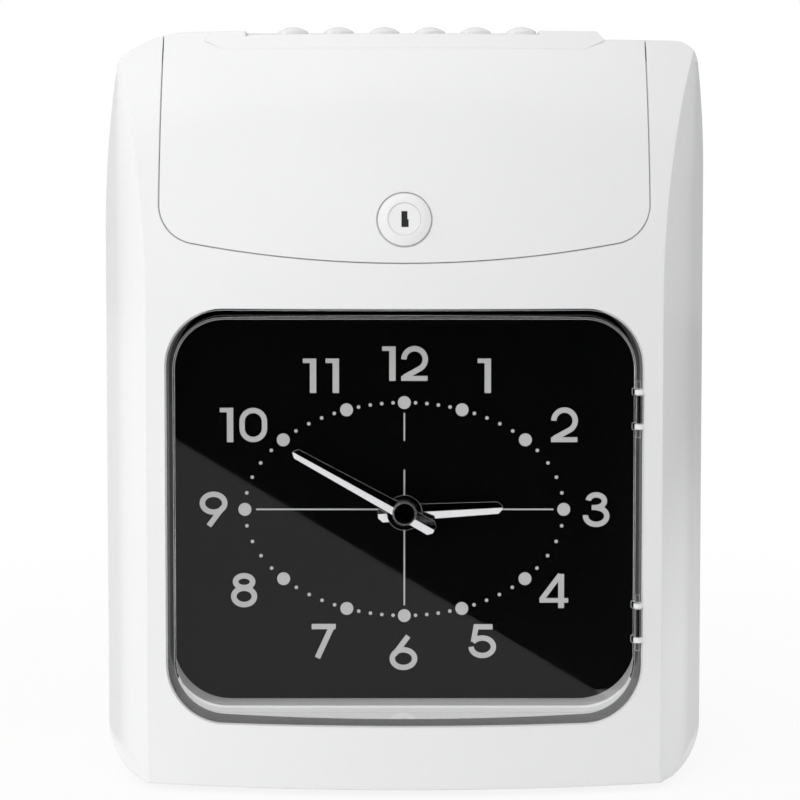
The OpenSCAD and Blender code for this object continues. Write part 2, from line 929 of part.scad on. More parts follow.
module case_screws() color(steel) at_case_screws() translate([0, back_y - head_deep, 0])
    pan_screw(back_y - head_deep - split_y + case_bite, case_screw_r);

module cord_grommet() color(dark) difference() {
    union() {
        rod_y(gland_x, back_y - gland_flange_t, back_y, gland_z, gland_r + gland_flange);
        rod_y(gland_x, back_y - wall - 2 * gland_flange_t, back_y, gland_z, gland_r);
    }
    rod_y(gland_x, 0, far, gland_z, gland_bore);
}

module dial_plate() color(black) difference() {
    facing(dial_y, dial_back) translate([0, open_z])
        rounded_rect(open_w + 2 * plate_margin, open_h + 2 * plate_margin, plate_corner_r);
    rod_y(0, dial_y - 1, dial_back + 1, dial_z, stem_r + run_fit);
    at_dial_screws() rod_y(0, dial_y - 1, dial_back + 1, 0, dial_screw_r + eps);
}

module dial_screws() color(steel) at_dial_screws() translate([0, dial_back, 0])
    pan_screw(dial_t + dial_bite, dial_screw_r);

module hour_dots() color([0.8, 0.8, 0.8])
    for (hour = [0 : 11]) {
        bearing = hour * 30;
        spread = 1 / sqrt(pow(sin(bearing) / ring_a, 2) + pow(cos(bearing) / ring_b, 2));
        rod_y(spread * sin(bearing), dial_y - hour_dot_t, dial_y, dial_z + spread * cos(bearing), hour_dot_r);
    }

module clock_movement() color(dark) difference() {
    union() {
        facing(dial_back, dial_back + movement_t) translate([0, dial_z])
            rounded_rect(movement_w, movement_w, case_corner_r);
        rod_y(0, dial_y - stem_len, dial_back, dial_z, stem_r);
    }
    rod_y(0, dial_y - far, dial_y + tube_root, dial_z, tube_r + run_fit);
    facing(dial_back + movement_t - bay_deep, far) translate([0, dial_z - movement_w / 4])
        square([movement_w - 2 * bay_margin, 2 * bay_half], center = true);
}

module movement_nut() color(steel) difference() {
    facing(dial_y - nut_t, dial_y) translate([0, dial_z]) circle(nut_r, $fn = 6);
    rod_y(0, dial_y - far, dial_y + 1, dial_z, stem_r + eps);
}

// A faceted hand pointing up, with its back at y = 0 and a ridge along the front
module hand_blade(reach, tail, w) {
    tip = w - hand_taper;
    slope = atan2(facet_drop, w / 2);
    end = hand_end * w;
    difference() {
        facing(-hand_t, 0) polygon([[-w / 2, end - tail], [end - w / 2, -tail], [w / 2 - end, -tail],
            [w / 2, end - tail], [tip / 2, reach - end], [tip / 2 - end, reach], [end - tip / 2, reach],
            [-tip / 2, reach - end]]);
        for (s = [-1, 1]) translate([0, -hand_t, 0]) rotate([0, 0, s * slope])
            box([s > 0 ? 0 : -far, -far, -far], [s > 0 ? far : 0, 0, far]);
    }
}

module hour_hand() color(chrome) translate([0, hour_y, dial_z]) rotate([0, hour_at, 0]) difference() {
    union() {
        hand_blade(hour_len, hour_tail, hour_w);
        rod_y(0, -hand_t, 0, 0, hour_hub_r);
        rod_y(0, -hand_t, dial_y + tube_root - hour_y - tube_slack, 0, tube_r);
    }
    rod_y(0, -far, far, 0, arbor_r + run_fit);
}

module minute_hand() color(chrome) translate([0, minute_y, dial_z]) rotate([0, minute_at, 0]) {
    hand_blade(minute_len, minute_tail, minute_w);
    rod_y(0, -hand_t, 0, 0, minute_hub_r);
    rod_y(0, -hand_t - cap_t, -hand_t, 0, minute_hub_r - cap_step);
    rod_y(0, -hand_t, dial_y + tube_root - minute_y - tube_slack, 0, arbor_r);
}

module window() color(clear) difference() {
    union() {
        intersection() {
            front_form(0);
            facing(-far, tray_back) translate([0, open_z])
                rounded_rect(tray_w, tray_h, open_r - window_gap);
        }
        for (z = [open_z - knuckle_rise, open_z + knuckle_rise]) {
            translate([window_axis_x, window_axis_y, z - knuckle_len / 2])
                cylinder(r = knuckle_r, h = knuckle_len);
            box([window_axis_x - knuckle_r, window_axis_y, z - knuckle_len / 2],
                [tray_w / 2, tray_back, z + knuckle_len / 2]);
        }
    }
    hull() {
        facing(pane_y - eps, pane_y) translate([0, view_z]) rounded_rect(view_w, view_h, view_r, $fn = 48);
        facing(front_y - 1, front_y) translate([0, view_z])
            rounded_rect(view_w + 2 * rim_flare, view_h + 2 * rim_flare, view_r + rim_flare, $fn = 48);
    }
    facing(pane_back, far) translate([0, open_z])
        rounded_rect(tray_w - 2 * pane_t, tray_h - 2 * pane_t, open_r - window_gap - pane_t);
    for (z = [open_z - knuckle_rise, open_z + knuckle_rise]) {
        translate([window_axis_x, window_axis_y, z - knuckle_len])
            cylinder(r = window_pin_r + run_fit, h = 2 * knuckle_len);
        for (s = [-1, 1]) {
            notch = z + s * (knuckle_len / 2 + knuckle_gap + lug_len / 2);
            box([window_axis_x - knuckle_r - notch_gap, -far, notch - lug_len / 2 - knuckle_gap],
                [far, far, notch + lug_len / 2 + knuckle_gap]);
        }
    }
}

module window_hinge_pins() color(steel)
    for (z = [open_z - knuckle_rise, open_z + knuckle_rise])
        translate([window_axis_x, window_axis_y, z - knuckle_len / 2 - knuckle_gap - lug_len])
            cylinder(r = window_pin_r, h = knuckle_len + 2 * (knuckle_gap + lug_len));

// Face of the key bar, nearly level with the cover at its foot and proud of it at the top
module bar_face() {
    foot_z = case_top - bar_drop;
    translate([0, axis_y, 0]) rotate([0, 0, -120]) rotate_extrude(angle = 60, $fn = 240)
        polygon([[0, foot_z], [bulge_r - lean_y(foot_z) + bar_foot, foot_z],
            [bulge_r - lean_y(bar_top) + bar_proud, bar_top], [0, bar_top]]);
}

module cover() color(white) difference() {
    union() {
        intersection() {
            difference() {
                case_block(0);
                case_block(wall);
            }
            facing(-far, hinge_y) cover_outline(0);
        }
        rod_x(-cover_w / 2, cover_w / 2, hinge_y, hinge_z, barrel_r);
        intersection() {
            difference() {
                bar_face();
                case_block(wall);
            }
            facing(-far, bar_back) polygon([[-lip_half, case_top - bar_drop], [lip_half, case_top - bar_drop],
                [bar_w / 2, case_top - bar_edge], [bar_w / 2, case_top], [bar_w / 2 - bar_rise, bar_top],
                [bar_rise - bar_w / 2, bar_top], [-bar_w / 2, case_top], [-bar_w / 2, case_top - bar_edge]]);
        }
        raised_shoulder(-cover_w / 2, 0);
        for (s = [-1, 1]) translate([s * keypad_post_x, key_y, keypad_z])
            cylinder(r = post_r, h = case_top - keypad_z - wall_bite);
    }
    box([channel_x0, key_y - channel_half, bar_top - channel_depth], [channel_x1, key_y + channel_half, far]);
    box([channel_x0, -far, bar_top - lip_drop], [channel_x1, key_y, far]);
    at_keys() translate([0, 0, keypad_z]) cylinder(r = key_r + key_clear, h = far);
    for (s = [0, 1]) mirror([s, 0, 0]) {
        translate([keypad_post_x, key_y, keypad_z - 1])
            cylinder(r = small_screw_r + eps, h = small_pilot + 1);
        rod_x(cover_w / 2 - cover_pin_in, cover_w / 2 + 1, hinge_y, hinge_z, cover_pin_r + run_fit);
    }
    at_lock() {
        rod_y(0, -10, 10, 0, lock_barrel_r + run_fit);
        rod_y(0, -10, lock_sink, 0, lock_flange_r + lock_ring_gap);
    }
}

module cover_hinge_pins() color(steel)
    for (s = [0, 1]) mirror([s, 0, 0])
        rod_x(cover_w / 2 - cover_pin_in + cover_pin_end, cover_w / 2 + cover_pin_out,
            hinge_y, hinge_z, cover_pin_r);

module lock_barrel() color(white) at_lock() difference() {
    union() {
        rod_y(0, -lock_lip, lock_sink, 0, lock_flange_r);
        translate([0, -lock_lip, 0]) rotate([90, 0, 0])
            cylinder(r1 = lock_flange_r, r2 = lock_flange_r - lock_slope, h = lock_face - lock_lip);
        rod_y(0, 0, lock_len, 0, lock_barrel_r);
    }
    rod_y(0, -far, far, 0, plug_r + run_fit);
}

module lock_nut() color(steel) at_lock() difference() {
    facing(wall + lock_seat, wall + lock_seat + lock_nut_t) circle(lock_nut_r, $fn = 6);
    rod_y(0, -far, far, 0, lock_barrel_r + eps);
}

module lock_plug() color(white) at_lock() difference() {
    union() {
        rod_y(0, plug_set - lock_face, lock_len + cam_gap, 0, plug_r);
        facing(lock_len, lock_len + cam_gap + cam_t) square(plug_tail, center = true);
        rod_y(0, lock_len + cam_gap + cam_t, lock_len + cam_gap + cam_t + plug_rivet_t, 0, plug_rivet_r);
    }
    box([-keyway_w / 2, -far, -keyway_h / 2], [keyway_w / 2, lock_len - keyway_left, keyway_h / 2]);
    box([0, -far, -keyway_h / 2], [keyway_w / 2 + keyway_ward, lock_len - keyway_left, 0]);
}

module lock_cam() color(steel) at_lock() difference() {
    facing(lock_len + cam_gap, lock_len + cam_gap + cam_t) union() {
        circle(cam_w / 2);
        translate([0, -cam_w / 2]) square([cam_len - cam_w / 2, cam_w]);
        translate([cam_len - cam_w / 2, 0]) circle(cam_w / 2);
    }
    facing(0, far) square(plug_tail + 2 * eps, center = true);
}

module keypad_board() color(green) difference() {
    union() {
        box([-keypad_half_w, key_y - keypad_half_d, keypad_z - board_t],
            [keypad_half_w, key_y + keypad_half_d, keypad_z]);
        at_keys() translate([0, 0, keypad_z + switch_h / 2])
            cube([switch_w, switch_w, switch_h], center = true);
    }
    at_keys() translate([0, 0, keypad_z]) cylinder(r = stem_key_r + run_fit, h = far);
    for (s = [-1, 1])
        translate([s * keypad_post_x, key_y, 0]) cylinder(r = small_screw_r + eps, h = far);
}

module keypad_screws() color(steel)
    for (s = [-1, 1]) translate([s * keypad_post_x, key_y, keypad_z - board_t]) rotate([-90, 0, 0])
        pan_screw(board_t + small_bite, small_screw_r);

// One domed key with its retaining flange and stem
module button(i) color(white) translate([key_x0 + i * key_pitch, key_y, 0]) {
    ball = (key_r * key_r + key_rise * key_rise) / (2 * key_rise);
    translate([0, 0, key_flange_z]) cylinder(r = key_r, h = bar_top - key_flange_z);
    intersection() {
        translate([0, 0, bar_top + key_rise - ball]) sphere(ball);
        translate([0, 0, bar_top - eps]) cylinder(r = key_r, h = key_rise + 1);
    }
    translate([0, 0, key_flange_z]) cylinder(r = key_r + flange_over, h = flange_t);
    translate([0, 0, stem_end]) cylinder(r = stem_key_r, h = key_flange_z - stem_end + eps);
}

module mechanism_frame() color(steel) difference() {
    union() {
        box([-frame_half, frame_y, frame_low], [frame_half, frame_y + sheet_t, frame_top]);
        for (s = [0, 1]) mirror([s, 0, 0]) {
            translate([frame_half - sheet_t, 0, 0]) rotate([90, 0, 90]) linear_extrude(sheet_t)
                polygon([[shelf_front, shelf_z], [frame_y + sheet_t, shelf_z], [frame_y + sheet_t, frame_top],
                    [shelf_front + cheek_back, frame_top], [shelf_front, frame_top - cheek_drop]]);
            box([frame_half - tab_w, ribbon_y0, ribbon_low - tab_t], [frame_half, ribbon_y1, ribbon_low]);
        }
        box([-frame_half, shelf_front, shelf_z], [frame_half, shelf_back, shelf_z + sheet_t]);
    }
    for (z = [rod_low, rod_high]) rod_x(-far, far, rod_y, z, rod_r + eps);
    rod_x(-far, far, roller_y, roller_z, roller_shaft_r + run_fit);
    rod_x(0, far, pinion_y, pinion_z, motor_shaft_r + shaft_clear);
    at_frame_screws() rod_y(0, -1, far, 0, frame_pilot_r + eps);
}

module frame_screws() color(steel) at_frame_screws() rotate([0, 0, 180]) pan_screw(frame_bite, frame_pilot_r);

module guide_rods() color(chrome)
    for (z = [rod_low, rod_high]) rod_x(-frame_half - rod_end, frame_half + rod_end, rod_y, z, rod_r);

module carriage() color(dark) difference() {
    union() {
        box([-carriage_half, carriage_front, rod_low - carriage_wall],
            [carriage_half, carriage_rear, rod_high + carriage_wall]);
        box([-clamp_half, carriage_front - clamp_out, print_z - belt_half - clamp_over],
            [clamp_half, carriage_front + wall_bite, print_z + belt_half + clamp_over]);
    }
    box([-far, carriage_front - belt_t - 2 * belt_clear, print_z - belt_half - slide_gap],
        [far, carriage_front, print_z + belt_half + slide_gap]);
    for (z = [rod_low, rod_high]) rod_x(-far, far, rod_y, z, rod_r + run_fit);
    box([-pocket_half, carriage_front + pocket_front, rod_low + pocket_half],
        [pocket_half, rod_y + pocket_front, rod_high - pocket_half]);
}

module print_head() color(black) {
    difference() {
        box([-head_half, carriage_rear, print_z - head_high],
            [head_half, chute_y0 - head_gap, print_z + head_high]);
        for (i = [-2 : 2])
            box([i * fin_pitch - fin_half, carriage_rear + fin_root, print_z + fin_low],
                [i * fin_pitch + fin_half, far, far]);
    }
    box([-nose_half, chute_y0 - head_gap - eps, print_z - nose_low],
        [nose_half, chute_y0 - nose_gap, print_z + nose_high]);
}

// A flanged belt pulley on the axis of its shaft
module pulley() {
    translate([0, 0, print_z - pulley_half]) cylinder(r = pulley_r, h = 2 * pulley_half);
    for (z = [print_z - pulley_half - flange_edge, print_z + pulley_half])
        translate([0, 0, z]) cylinder(r = pulley_r + belt_t, h = flange_edge);
}

module drive_pulley() color(steel) translate([pulley_x, pulley_y, 0]) {
    pulley();
    translate([0, 0, motor_top - motor_grip])
        cylinder(r = motor_shaft_r, h = print_z - motor_top + motor_grip);
}

module idler_pulley() color(steel) translate([-pulley_x, pulley_y, 0]) difference() {
    pulley();
    cylinder(r = stud_r + run_fit, h = far);
}

module idler_stud() color(steel) translate([-pulley_x, pulley_y, shelf_z + sheet_t]) {
    cylinder(r = stud_r, h = print_z + stud_over - shelf_z - sheet_t);
    cylinder(r = stud_foot_r, h = print_z - pulley_half - flange_edge - slide_gap - shelf_z - sheet_t);
}

module timing_belt() color(black) translate([0, pulley_y, print_z - belt_half]) linear_extrude(2 * belt_half)
    difference() {
        union() {
            square([2 * pulley_x, 2 * belt_reach], center = true);
            for (s = [-1, 1]) translate([s * pulley_x, 0]) circle(belt_reach);
        }
        square([2 * pulley_x, 2 * (pulley_r + belt_gap)], center = true);
        for (s = [-1, 1]) translate([s * pulley_x, 0]) circle(pulley_r + belt_gap);
    }

module carriage_motor() color(steel) translate([pulley_x, pulley_y, 0]) difference() {
    union() {
        translate([0, 0, shelf_z + sheet_t]) cylinder(r = motor_r, h = motor_h);
        translate([0, 0, motor_top - eps]) cylinder(r = motor_bush_r, h = motor_bush_t);
    }
    translate([0, 0, motor_top - motor_grip - shaft_end]) cylinder(r = motor_shaft_r + run_fit, h = motor_h);
}

module ribbon_cartridge() color(dark) difference() {
    union() {
        box([sheet_t + slide_gap - frame_half, ribbon_y0 + ribbon_lip, ribbon_low],
            [frame_half - sheet_t - slide_gap, ribbon_y1, ribbon_low + ribbon_base]);
        box([-ribbon_half, ribbon_y0, ribbon_low], [ribbon_half, ribbon_y1, ribbon_high]);
    }
    translate([knob_x, knob_y, ribbon_low + ribbon_base]) cylinder(r = knob_shaft_r + run_fit, h = far);
    box([label_left - ribbon_half, ribbon_y0 + label_edge, ribbon_high - label_deep],
        [ribbon_half - label_right, ribbon_y1 - label_edge, far]);
}

module ribbon_knob() color([0.2, 0.35, 0.7]) translate([knob_x, knob_y, 0]) {
    translate([0, 0, ribbon_low + ribbon_base + shaft_end])
        cylinder(r = knob_shaft_r, h = ribbon_high - ribbon_low);
    difference() {
        translate([0, 0, ribbon_high + slide_gap]) cylinder(r = knob_r, h = knob_h);
        for (i = [1 : knob_dents]) rotate(i * 360 / knob_dents)
            translate([knob_r + dent_out, 0, 0]) cylinder(r = dent_r, h = far);
    }
}

module card_chute() color([0.75, 0.75, 0.76]) difference() {
    union() {
        box([-chute_half, chute_y0, chute_low], [chute_half, chute_y1, skin_under - chute_top_gap]);
        for (s = [-1, 1], z = [frame_low + chute_tab_low, frame_top - chute_tab_high])
            box([s * chute_tab_x - chute_tab_half, chute_y1 - wall_bite, z],
                [s * chute_tab_x + chute_tab_half, frame_y, z + chute_tab_h]);
    }
    box([chute_t - chute_half, chute_y0 + chute_t, chute_low + chute_t],
        [chute_half - chute_t, chute_y1 - chute_t, far]);
    box([print_side - slot_w / 2, 0, print_z - print_half],
        [slot_w / 2 - print_side, slot_y, print_z + print_half]);
    box([platen_side - platen_gap - slot_w / 2, slot_y, print_z - platen_half - platen_gap],
        [slot_w / 2 - platen_side + platen_gap, frame_y, print_z + platen_half + platen_gap]);
    for (s = [-1, 1])
        box([s * roller_x - roller_half - roller_gap, 0, roller_z - roller_r - roller_gap],
            [s * roller_x + roller_half + roller_gap, slot_y, roller_z + roller_r + roller_gap]);
}

module platen() color(dark)
    box([platen_side - slot_w / 2, chute_y1 - chute_t + slide_gap, print_z - platen_half],
        [slot_w / 2 - platen_side, frame_y, print_z + platen_half]);

// A spur gear outline with involute flanks, eased for running clearance
module gear_outline(teeth) {
    pitch = teeth * gear_module / 2;
    base = pitch * cos(pressure_angle);
    tip = pitch + gear_addendum * gear_module;
    root = pitch - gear_dedendum * gear_module;
    roll = function(r) r <= base ? 0 : sqrt(r * r / (base * base) - 1);
    inv = function(r) roll(r) * 180 / PI - atan(roll(r));
    half = (90 - gear_thin) / teeth + inv(pitch);
    low = max(root, base);
    flank = [for (i = [0 : flank_steps]) low + (tip - low) * i / flank_steps];
    side = function(r, s) [r * cos(half - inv(r)), s * r * sin(half - inv(r))];
    circle(root);
    for (i = [0 : teeth - 1]) rotate(i * 360 / teeth) polygon(concat(
        [[root - gear_root_in, -root * sin(half)]],
        [for (r = flank) side(r, -1)],
        [for (k = [flank_steps : -1 : 0]) side(flank[k], 1)],
        [[root - gear_root_in, root * sin(half)]]));
}

module feed_roller() color(dark) {
    rod_x(-frame_half - rod_end, gear_x + gear_t, roller_y, roller_z, roller_shaft_r);
    for (s = [-1, 1])
        rod_x(s * roller_x - roller_half, s * roller_x + roller_half, roller_y, roller_z, roller_r);
    translate([gear_x, roller_y, roller_z]) rotate([90, 0, 90]) rotate(gear_angle)
        linear_extrude(gear_t) gear_outline(gear_teeth);
}

module feed_motor() color(steel) difference() {
    union() {
        rod_x(feed_motor_x, frame_half - sheet_t, pinion_y, pinion_z, feed_motor_r);
        rod_x(feed_motor_x - feed_tail, feed_motor_x + eps, pinion_y, pinion_z, feed_tail_r);
    }
    rod_x(feed_motor_x + feed_bore, far, pinion_y, pinion_z, motor_shaft_r + run_fit);
}

module motor_pinion() color([0.9, 0.88, 0.8]) {
    rod_x(feed_motor_x + feed_bore + shaft_end, gear_x + eps, pinion_y, pinion_z, motor_shaft_r);
    translate([gear_x, pinion_y, pinion_z]) rotate([90, 0, 90])
        rotate(gear_angle + 180 + 180 / pinion_teeth) linear_extrude(gear_t) gear_outline(pinion_teeth);
}

module main_board() color(green) difference() {
    union() {
        box([-board_half_w, board_y, board_low], [board_half_w, board_y + board_t, board_high]);
        box([-chip_w / 2, board_y - chip_t, board_low + chip_rise],
            [chip_w / 2, board_y + eps, board_low + chip_rise + chip_h]);
        box([buzzer_x - plug_w / 2, board_y - plug_t, board_low + board_edge],
            [buzzer_x + plug_w / 2, board_y + eps, board_low + board_edge + plug_h]);
        for (s = [-1, 1])
            rod_y(capacitor_x + s * capacitor_gap / 2, board_y - capacitor_h, board_y + eps,
                board_low + part_rise, capacitor_r);
        rod_y(buzzer_x, board_y - buzzer_h, board_y + eps, board_low + part_rise, buzzer_r);
    }
    at_board_screws() rod_y(0, -1, far, 0, small_screw_r + eps);
}

module board_screws() color(steel) at_board_screws() rotate([0, 0, 180]) pan_screw(board_bite, small_screw_r);

module transformer() color([0.35, 0.33, 0.3])
    translate([transformer_side - case_w / 2, back_y - wall - transformer_back - coil_d / 2, floor_z]) {
        box([-core_w / 2, -core_d / 2, 0], [core_w / 2, core_d / 2, core_h]);
        box([-coil_w / 2, -coil_d / 2, coil_rise], [coil_w / 2, coil_d / 2, coil_rise + coil_h]);
        box([-strap_w / 2, -strap_d / 2, 0], [strap_w / 2, strap_d / 2, strap_t]);
    }

module backup_battery() color([0.2, 0.55, 0.3]) for (i = [0 : cell_count - 1])
    rod_x(gland_x - cell_from_gland - cell_len, gland_x - cell_from_gland,
        back_y - wall - cell_back - cell_radius - i * cell_pitch, floor_z + cell_radius, cell_radius);

front_housing();
rear_housing();
rubber_feet();
case_screws();
cord_grommet();
dial_plate();
dial_screws();
hour_dots();
clock_movement();
movement_nut();
hour_hand();
minute_hand();
window();
window_hinge_pins();
cover();
cover_hinge_pins();
lock_barrel();
lock_nut();
lock_plug();
lock_cam();
keypad_board();
keypad_screws();
button(0);  // button_1
button(1);  // button_2
button(2);  // button_3
button(3);  // button_4
button(4);  // button_5
button(5);  // button_6
mechanism_frame();
frame_screws();
guide_rods();
carriage();
print_head();
drive_pulley();
idler_pulley();
idler_stud();
timing_belt();
carriage_motor();
ribbon_cartridge();
ribbon_knob();
card_chute();
platen();
feed_roller();
feed_motor();
motor_pinion();
main_board();
board_screws();
transformer();
backup_battery();
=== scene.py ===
"""Looks for the punch-card time clock: finishes, dial printing, studio and camera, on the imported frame."""
import json
import math

import bmesh
import bpy
from mathutils import Matrix, Vector


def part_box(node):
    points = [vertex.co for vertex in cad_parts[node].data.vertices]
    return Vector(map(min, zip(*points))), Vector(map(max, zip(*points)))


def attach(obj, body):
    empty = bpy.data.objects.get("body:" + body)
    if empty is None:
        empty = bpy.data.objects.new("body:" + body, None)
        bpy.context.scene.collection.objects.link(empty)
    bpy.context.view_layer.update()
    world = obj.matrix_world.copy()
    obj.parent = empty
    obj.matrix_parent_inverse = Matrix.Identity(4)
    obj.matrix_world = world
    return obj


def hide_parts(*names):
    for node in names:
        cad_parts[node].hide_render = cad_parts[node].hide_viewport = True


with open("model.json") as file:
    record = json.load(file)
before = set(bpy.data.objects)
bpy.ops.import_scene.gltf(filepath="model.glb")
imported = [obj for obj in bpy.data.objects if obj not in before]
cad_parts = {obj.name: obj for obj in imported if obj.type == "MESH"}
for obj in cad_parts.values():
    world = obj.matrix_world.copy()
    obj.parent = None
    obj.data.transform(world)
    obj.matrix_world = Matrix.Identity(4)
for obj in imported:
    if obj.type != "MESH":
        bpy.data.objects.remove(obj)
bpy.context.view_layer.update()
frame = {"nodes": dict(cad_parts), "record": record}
nodes = frame["nodes"]
scene = bpy.context.scene
body_of_node = {n: b for b, members in frame["record"]["behaviour"]["bodies"].items() for n in members}
slot_of_node = {p["node"]: p["material_slot"] for p in frame["record"]["subparts"]}

# Sizes in metres
MM = 0.001
DIAL_FACE_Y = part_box("dial_plate")[0].y
DIAL_CENTRE_Z = 95 * MM
RING_HALF_WIDTH = 55.4 * MM
RING_HALF_HEIGHT = 37.2 * MM
PRINT_THICKNESS = 0.08 * MM
PANE_Y = -50.5 * MM
WINDOW_LOW_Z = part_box("window")[0].z


# Shader groups shared by the finishes

def new_group(name, inputs, outputs):
    group = bpy.data.node_groups.new(name, "ShaderNodeTree")
    for label, kind, value in inputs:
        socket = group.interface.new_socket(name=label, in_out="INPUT", socket_type=kind)
        if value is not None:
            socket.default_value = value
    for label, kind in outputs:
        group.interface.new_socket(name=label, in_out="OUTPUT", socket_type=kind)
    return group, group.nodes.new("NodeGroupInput"), group.nodes.new("NodeGroupOutput")


def add_node(tree, kind, **settings):
    node = tree.nodes.new(kind)
    for key, value in settings.items():
        setattr(node, key, value)
    return node


def plug(tree, value, socket):
    """Links another node's output to a socket, or sets the socket to a plain value."""
    if isinstance(value, bpy.types.NodeSocket):
        tree.links.new(value, socket)
    else:
        socket.default_value = value


def math_node(tree, operation, a, b=None):
    node = add_node(tree, "ShaderNodeMath", operation=operation)
    plug(tree, a, node.inputs[0])
    if b is not None:
        plug(tree, b, node.inputs[1])
    return node.outputs[0]


def map_range(tree, value, span, result):
    """A value carried over from one span of numbers to another, and held at its ends."""
    node = add_node(tree, "ShaderNodeMapRange")
    for label, number in zip(("From Min", "From Max", "To Min", "To Max"), span + result):
        node.inputs[label].default_value = number
    tree.links.new(value, node.inputs["Value"])
    return node.outputs["Result"]


def mix_colours(tree, share, first, second):
    node = add_node(tree, "ShaderNodeMix", data_type="RGBA")
    for label, value in (("Factor", share), ("A", first), ("B", second)):
        plug(tree, value, node.inputs[label])
    return node.outputs["Result"]


def mix_shaders(tree, share, first, second):
    node = add_node(tree, "ShaderNodeMixShader")
    for socket, value in zip(node.inputs, (share, first, second)):
        tree.links.new(value, socket)
    return node.outputs["Shader"]


def make_moulded_skin():
    """Fine moulded grain over slow waviness, with roughness that wanders a little."""
    group, gin, gout = new_group(
        "moulded_skin",
        [("Vector", "NodeSocketVector", None), ("Grain", "NodeSocketFloat", 1800.0),
         ("Wave", "NodeSocketFloat", 45.0), ("Wave Share", "NodeSocketFloat", 0.5),
         ("Roughness", "NodeSocketFloat", 0.3), ("Spread", "NodeSocketFloat", 0.06)],
        [("Height", "NodeSocketFloat"), ("Roughness", "NodeSocketFloat"), ("Mottle", "NodeSocketFloat")])
    grain = add_node(group, "ShaderNodeTexNoise")
    wave = add_node(group, "ShaderNodeTexNoise")
    patch = add_node(group, "ShaderNodeTexNoise")
    grain.inputs["Detail"].default_value = 3.0
    wave.inputs["Detail"].default_value = 1.0
    patch.inputs["Scale"].default_value = 22.0
    patch.inputs["Detail"].default_value = 4.0
    for node in (grain, wave, patch):
        group.links.new(gin.outputs["Vector"], node.inputs["Vector"])
    group.links.new(gin.outputs["Grain"], grain.inputs["Scale"])
    group.links.new(gin.outputs["Wave"], wave.inputs["Scale"])
    waves = math_node(group, "MULTIPLY", wave.outputs["Fac"], gin.outputs["Wave Share"])
    rest = math_node(group, "SUBTRACT", 1.0, gin.outputs["Wave Share"])
    grains = math_node(group, "MULTIPLY", grain.outputs["Fac"], rest)
    group.links.new(math_node(group, "ADD", waves, grains), gout.inputs["Height"])
    centred = math_node(group, "SUBTRACT", patch.outputs["Fac"], 0.5)
    swing = math_node(group, "MULTIPLY", centred, gin.outputs["Spread"])
    group.links.new(math_node(group, "ADD", gin.outputs["Roughness"], swing), gout.inputs["Roughness"])
    group.links.new(patch.outputs["Fac"], gout.inputs["Mottle"])
    return group


EDGE_GAIN = 5.0


def make_edge_softening():
    """A normal rounded over the piece's edges, and a mask that is 1 along them."""
    group, gin, gout = new_group(
        "edge_softening", [("Radius", "NodeSocketFloat", 0.0005)],
        [("Normal", "NodeSocketVector"), ("Edge", "NodeSocketFloat")])
    bevel = add_node(group, "ShaderNodeBevel", samples=4)
    geometry = add_node(group, "ShaderNodeNewGeometry")
    dot = add_node(group, "ShaderNodeVectorMath", operation="DOT_PRODUCT")
    group.links.new(gin.outputs["Radius"], bevel.inputs["Radius"])
    group.links.new(bevel.outputs["Normal"], dot.inputs[0])
    group.links.new(geometry.outputs["Normal"], dot.inputs[1])
    away = math_node(group, "SUBTRACT", 1.0, dot.outputs["Value"])
    strong = math_node(group, "MULTIPLY", away, EDGE_GAIN)
    group.links.new(math_node(group, "MINIMUM", strong, 1.0), gout.inputs["Edge"])
    group.links.new(bevel.outputs["Normal"], gout.inputs["Normal"])
    return group


def make_drawn_streaks():
    """Long fine streaks along X, as on drawn or brushed metal."""
    group, gin, gout = new_group(
        "drawn_streaks",
        [("Vector", "NodeSocketVector", None), ("Across", "NodeSocketFloat", 2600.0),
         ("Roughness", "NodeSocketFloat", 0.3), ("Spread", "NodeSocketFloat", 0.2)],
        [("Height", "NodeSocketFloat"), ("Roughness", "NodeSocketFloat"), ("Mottle", "NodeSocketFloat")])
    stretch = add_node(group, "ShaderNodeMapping")
    stretch.inputs["Scale"].default_value = (0.03, 1.0, 1.0)
    streak = add_node(group, "ShaderNodeTexNoise")
    streak.inputs["Detail"].default_value = 4.0
    blotch = add_node(group, "ShaderNodeTexNoise")
    blotch.inputs["Scale"].default_value = 60.0
    group.links.new(gin.outputs["Vector"], stretch.inputs["Vector"])
    group.links.new(stretch.outputs["Vector"], streak.inputs["Vector"])
    group.links.new(gin.outputs["Across"], streak.inputs["Scale"])
    group.links.new(gin.outputs["Vector"], blotch.inputs["Vector"])
    centred = math_node(group, "SUBTRACT", streak.outputs["Fac"], 0.5)
    swing = math_node(group, "MULTIPLY", centred, gin.outputs["Spread"])
    group.links.new(streak.outputs["Fac"], gout.inputs["Height"])
    group.links.new(math_node(group, "ADD", gin.outputs["Roughness"], swing), gout.inputs["Roughness"])
    group.links.new(blotch.outputs["Fac"], gout.inputs["Mottle"])
    return group


moulded_skin = make_moulded_skin()
edge_softening = make_edge_softening()
drawn_streaks = make_drawn_streaks()


# Finishes

def shade(colour, factor):
    return tuple(min(1.0, c * factor) for c in colour[:3]) + (1.0,)


def place_group(tree, group, **values):
    node = add_node(tree, "ShaderNodeGroup", node_tree=group)
    for label, value in values.items():
        node.inputs[label.replace("_", " ")].default_value = value
    return node


RELIEF_DEPTH = 0.1 * MM


